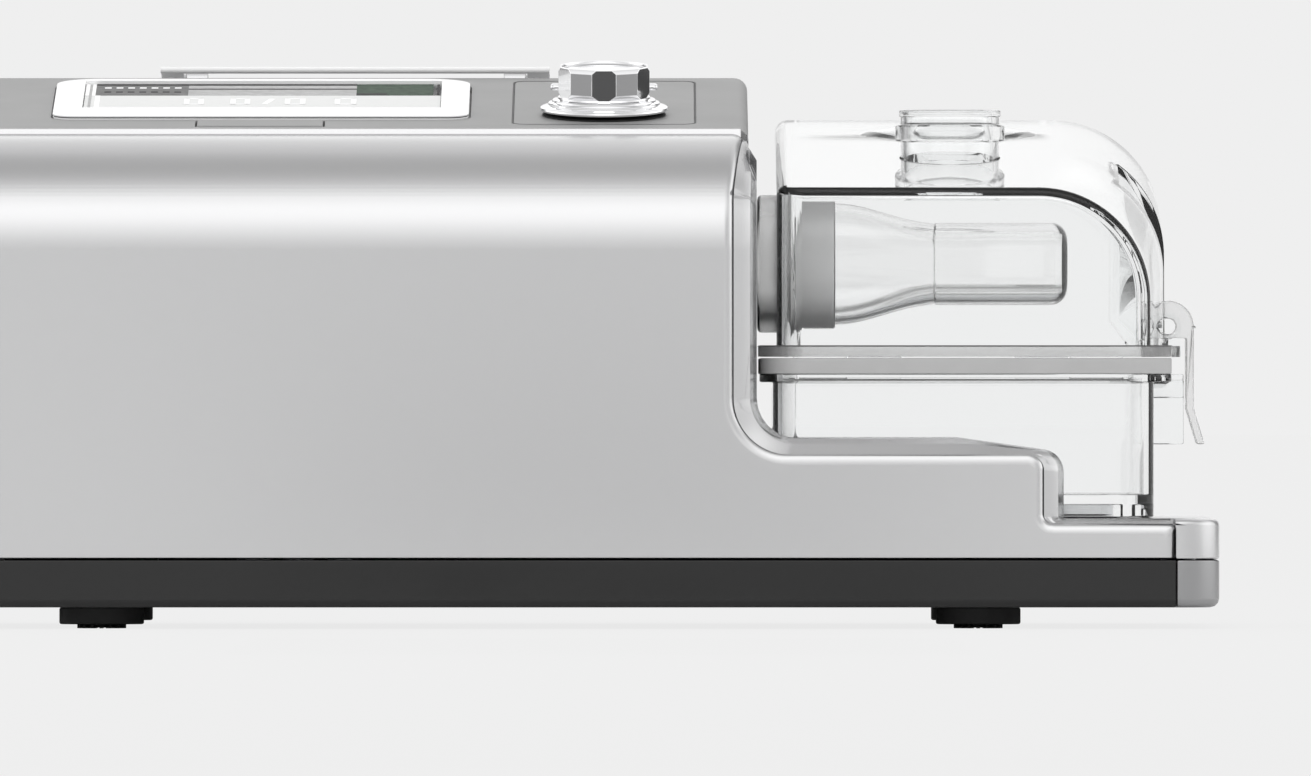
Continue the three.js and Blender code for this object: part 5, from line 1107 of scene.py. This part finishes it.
def slot_ring(x, share, inset):
    """A ring across the duct, round at share 0 and a rounded slot at share 1."""
    ring = []
    for i in range(84):
        angle = (i + 0.5) * 2 * math.pi / 84
        c, s = math.cos(angle), math.sin(angle)
        slot_y = (SLOT_HALF_WIDTH - inset) * math.copysign(abs(c) ** 0.5, c)
        slot_z = (SLOT_HALF_HEIGHT - inset) * math.copysign(abs(s) ** 0.5, s)
        wide = (SOCKET_RADIUS - inset) * (1 - share)
        ring.append((x, TANK_MID + wide * c + slot_y * share, DUCT_Z + wide * s + slot_z * share))
    return ring


def water_guard_duct():
    """The clear duct that carries air over the water: a socket, a funnel and a closed tube."""
    x0 = LID_LEFT + 2.3
    x1, x2, x3 = x0 + 11, x0 + 33, x0 + 62.5

    def form(inset, start, end):
        stops = [k / 10 for k in range(1, 10)]
        rings = [slot_ring(start, 0, inset), slot_ring(x1, 0, inset)]
        rings += [slot_ring(x1 + 22 * t, t * t * (3 - 2 * t), inset) for t in stops]
        rings.append(slot_ring(x2, 1, inset + 0.25))
        rings.append(slot_ring(x2 + 0.25, 1, inset))
        if inset:
            rings.append(slot_ring(end, 1, inset))
        else:
            for k in range(9):
                angle = math.pi / 2 * k / 8
                rings.append(slot_ring(end - 3.6 + 3.6 * math.sin(angle), 1, 3.6 * (1 - math.cos(angle))))
        return skin(rings)

    made = cut(form(0, x0, x3), form(1.5, x0 - 1, x3 - 1.5))
    window = rounded_rectangle(x3 - 18, x3 - 5, TANK_MID + 1, TANK_MID + 30, 1, 6)
    cut(made, swept(window, "Z", DUCT_Z - 5, DUCT_Z + 5))
    finished(made, "water_guard_duct", "inlet_duct")
    start, end = x0 + 0.1, x1 - 0.1
    profile = [(start, 0.08), (start, 0.6), (start + 0.3, 0.9), (end - 0.3, 0.9), (end, 0.6), (end, 0.08)]
    sleeve = skin([slot_ring(x, 0, -out) for x, out in profile], looped=True)
    extra(sleeve, "socket_sleeve", "rubber_grey", "lid", looks["socket"])


def duct_collar():
    """The soft collar that meets the housing's air port."""
    x0, x1 = BODY_RIGHT + 0.3, LID_LEFT
    profile = [(11, x0), (14.2, x0), (14.8, x0 + 0.15), (15.2, x0 + 0.55), (15.3, x0 + 1.0), (15.3, x1),
               (11, x1)]
    rings = []
    for i in range(112):
        angle = 2 * math.pi * i / 112
        rings.append([(x, TANK_MID + r * math.cos(angle), DUCT_Z + r * math.sin(angle)) for r, x in profile])
    finished(skin(rings, looped=True), "duct_collar", "inlet_seal", looks["collar"])


lid_with_brow()
lid_rim_edge()
air_outlet()
water_guard_duct()
duct_collar()
dressed("tank_tub", 0.3, 2, 50)
dressed("tank_seal", 0.3, 2, 50)
dressed("lid_latch", 0.4, 3, 50, looks["latch"])


# Studio

PAPER = 0.863


def range_node(tree, value, low, high):
    """A value's way from low to high as 0 to 1."""
    made = tree.nodes.new("ShaderNodeMapRange")
    made.inputs["From Min"].default_value = low
    made.inputs["From Max"].default_value = high
    tree.links.new(value, made.inputs["Value"])
    return made.outputs["Result"]


def brightness(tree, angle, lowest, stops):
    """Brightness stops by angle in degrees, halved here and doubled again by the light's strength."""
    made = tree.nodes.new("ShaderNodeValToRGB")
    ramp = made.color_ramp
    ramp.interpolation = "EASE"
    for i, (degrees, level) in enumerate(stops):
        spot = (degrees - lowest) / (180 - lowest)
        stop = ramp.elements[i] if i < 2 else ramp.elements.new(spot)
        stop.position = spot
        stop.color = (*grey(level / 2), 1)
    tree.links.new(range_node(tree, angle, math.radians(lowest), math.pi), made.inputs["Fac"])
    return made.outputs["Color"]


def seen_directly(tree):
    """1 for what the camera sees, also through clear plastic, and 0 for all other rays."""
    path = tree.nodes.new("ShaderNodeLightPath")
    return math_node(tree, "MAXIMUM", path.outputs["Is Camera Ray"], path.outputs["Is Transmission Ray"])


def mixed_surface(tree, share, first, second, output):
    mix = tree.nodes.new("ShaderNodeMixShader")
    wire(tree,
         (share, mix.inputs["Fac"]),
         (first.outputs[0], mix.inputs[1]),
         (second.outputs[0], mix.inputs[2]),
         (mix.outputs[0], tree.nodes[output].inputs["Surface"]))


def studio_world():
    """A white room: bright panels before and behind at half height, a dimmer ceiling."""
    world = bpy.data.worlds.new("studio")
    scene.world = world
    world.use_nodes = True
    tree = world.node_tree
    plain = tree.nodes["Background"]
    plain.inputs["Color"].default_value = (*grey(PAPER), 1)
    plain.inputs["Strength"].default_value = 1.0
    soft = tree.nodes.new("ShaderNodeBackground")
    soft.inputs["Strength"].default_value = 2.0
    split = tree.nodes.new("ShaderNodeSeparateXYZ")
    tree.links.new(tree.nodes.new("ShaderNodeTexCoord").outputs["Generated"], split.inputs[0])
    x, y, z = split.outputs
    ahead = math_node(tree, "MULTIPLY", y, -1.0)
    aside = math_node(tree, "ABSOLUTE", x)
    panels = brightness(tree, math_node(tree, "ARCTAN2", z, ahead), -180, [
        (-180, 0.8), (0, 0.86), (9, 1.0), (20, 1.32), (32, 1.64), (42, 1.7), (51, 1.52), (60, 1.14),
        (70, 0.76), (78, 0.58), (90, 0.52), (103, 0.62), (113, 0.84), (137, 1.02), (150, 1.45), (159, 1.5),
        (167, 1.05), (180, 0.88)])
    sides = brightness(tree, math_node(tree, "ARCTAN2", aside, ahead), 0, [
        (0, 0.86), (25, 0.8), (50, 0.8), (68, 1.0), (84, 1.5), (104, 1.6), (124, 1.3), (140, 0.3),
        (152, 0.14), (163, 0.2), (173, 0.8), (180, 0.9)])
    sideways_on = range_node(tree, aside, 0.2, 0.5)
    level_on = range_node(tree, math_node(tree, "ABSOLUTE", z), 0.7, 0.45)
    blend = tree.nodes.new("ShaderNodeMix")
    blend.data_type = "RGBA"
    wire(tree,
         (math_node(tree, "MULTIPLY", sideways_on, level_on), blend.inputs[MIX_SHARE]),
         (panels, blend.inputs[MIX_FIRST]),
         (sides, blend.inputs[MIX_SECOND]),
         (blend.outputs[MIX_RESULT], soft.inputs["Color"]))
    mixed_surface(tree, seen_directly(tree), soft, plain, "World Output")


def level_sheet(name, material, across, along, height):
    """A level sheet with a node material of its own, and that material's nodes."""
    (x0, x1), (y0, y1) = across, along
    mesh = bpy.data.meshes.new(name)
    corners = [(x0, y0, height), (x1, y0, height), (x1, y1, height), (x0, y1, height)]
    mesh.from_pydata(corners, [], [(0, 1, 2, 3)])
    paint = bpy.data.materials.new(material)
    paint.use_nodes = True
    mesh.materials.append(paint)
    return placed(name, mesh), paint.node_tree


def glow(tree, level):
    made = tree.nodes.new("ShaderNodeEmission")
    made.inputs["Color"].default_value = (*grey(level), 1)
    return made


def reflection_card(name, across, along, level):
    """A grey card on the floor that only polished surfaces mirror, as on a photographer's table."""
    card, tree = level_sheet(name, name, across, along, 0.0004)
    tree.links.new(glow(tree, level).outputs[0], tree.nodes["Material Output"].inputs["Surface"])
    card.visible_camera = False
    card.visible_diffuse = False
    card.visible_transmission = False
    card.visible_shadow = False
    card.visible_volume_scatter = False


def studio_floor():
    """White paper that the camera sees almost without shadows."""
    floor, tree = level_sheet("floor", "pale_floor", (-30, 30), (-30, 30), 0)
    paper = tree.nodes["Principled BSDF"]
    paper.inputs["Base Color"].default_value = (0.8, 0.8, 0.8, 1)
    paper.inputs["Roughness"].default_value = 0.9
    share = math_node(tree, "MULTIPLY", seen_directly(tree), 0.93)
    mixed_surface(tree, share, paper, glow(tree, PAPER), "Material Output")


def overhead_softbox():
    """One wide soft light, high up before the machine."""
    data = bpy.data.lights.new("overhead_softbox", "AREA")
    data.shape = "RECTANGLE"
    data.size = 2.0
    data.size_y = 1.2
    data.energy = 10
    light = placed("overhead_softbox", data)
    aim, distance, rise = Vector((0, 0, 0.06)), 2.4, math.radians(70)
    light.location = aim + distance * Vector((0, -math.cos(rise), math.sin(rise)))
    light.rotation_euler = (light.location - aim).to_track_quat("Z", "Y").to_euler()
    light.visible_glossy = False


studio_world()
studio_floor()
reflection_card("front_card", (-0.07, 0.08), (-0.78, -0.36), 0.10)
reflection_card("left_card", (-0.78, -0.40), (-0.55, -0.15), 0.34)
reflection_card("right_card", (0.41, 0.79), (-0.55, -0.15), 0.34)
reflection_card("far_left_card", (-2.6, -1.1), (0.45, 1.5), 0.06)
reflection_card("far_right_card", (1.1, 2.6), (0.45, 1.5), 0.06)
overhead_softbox()
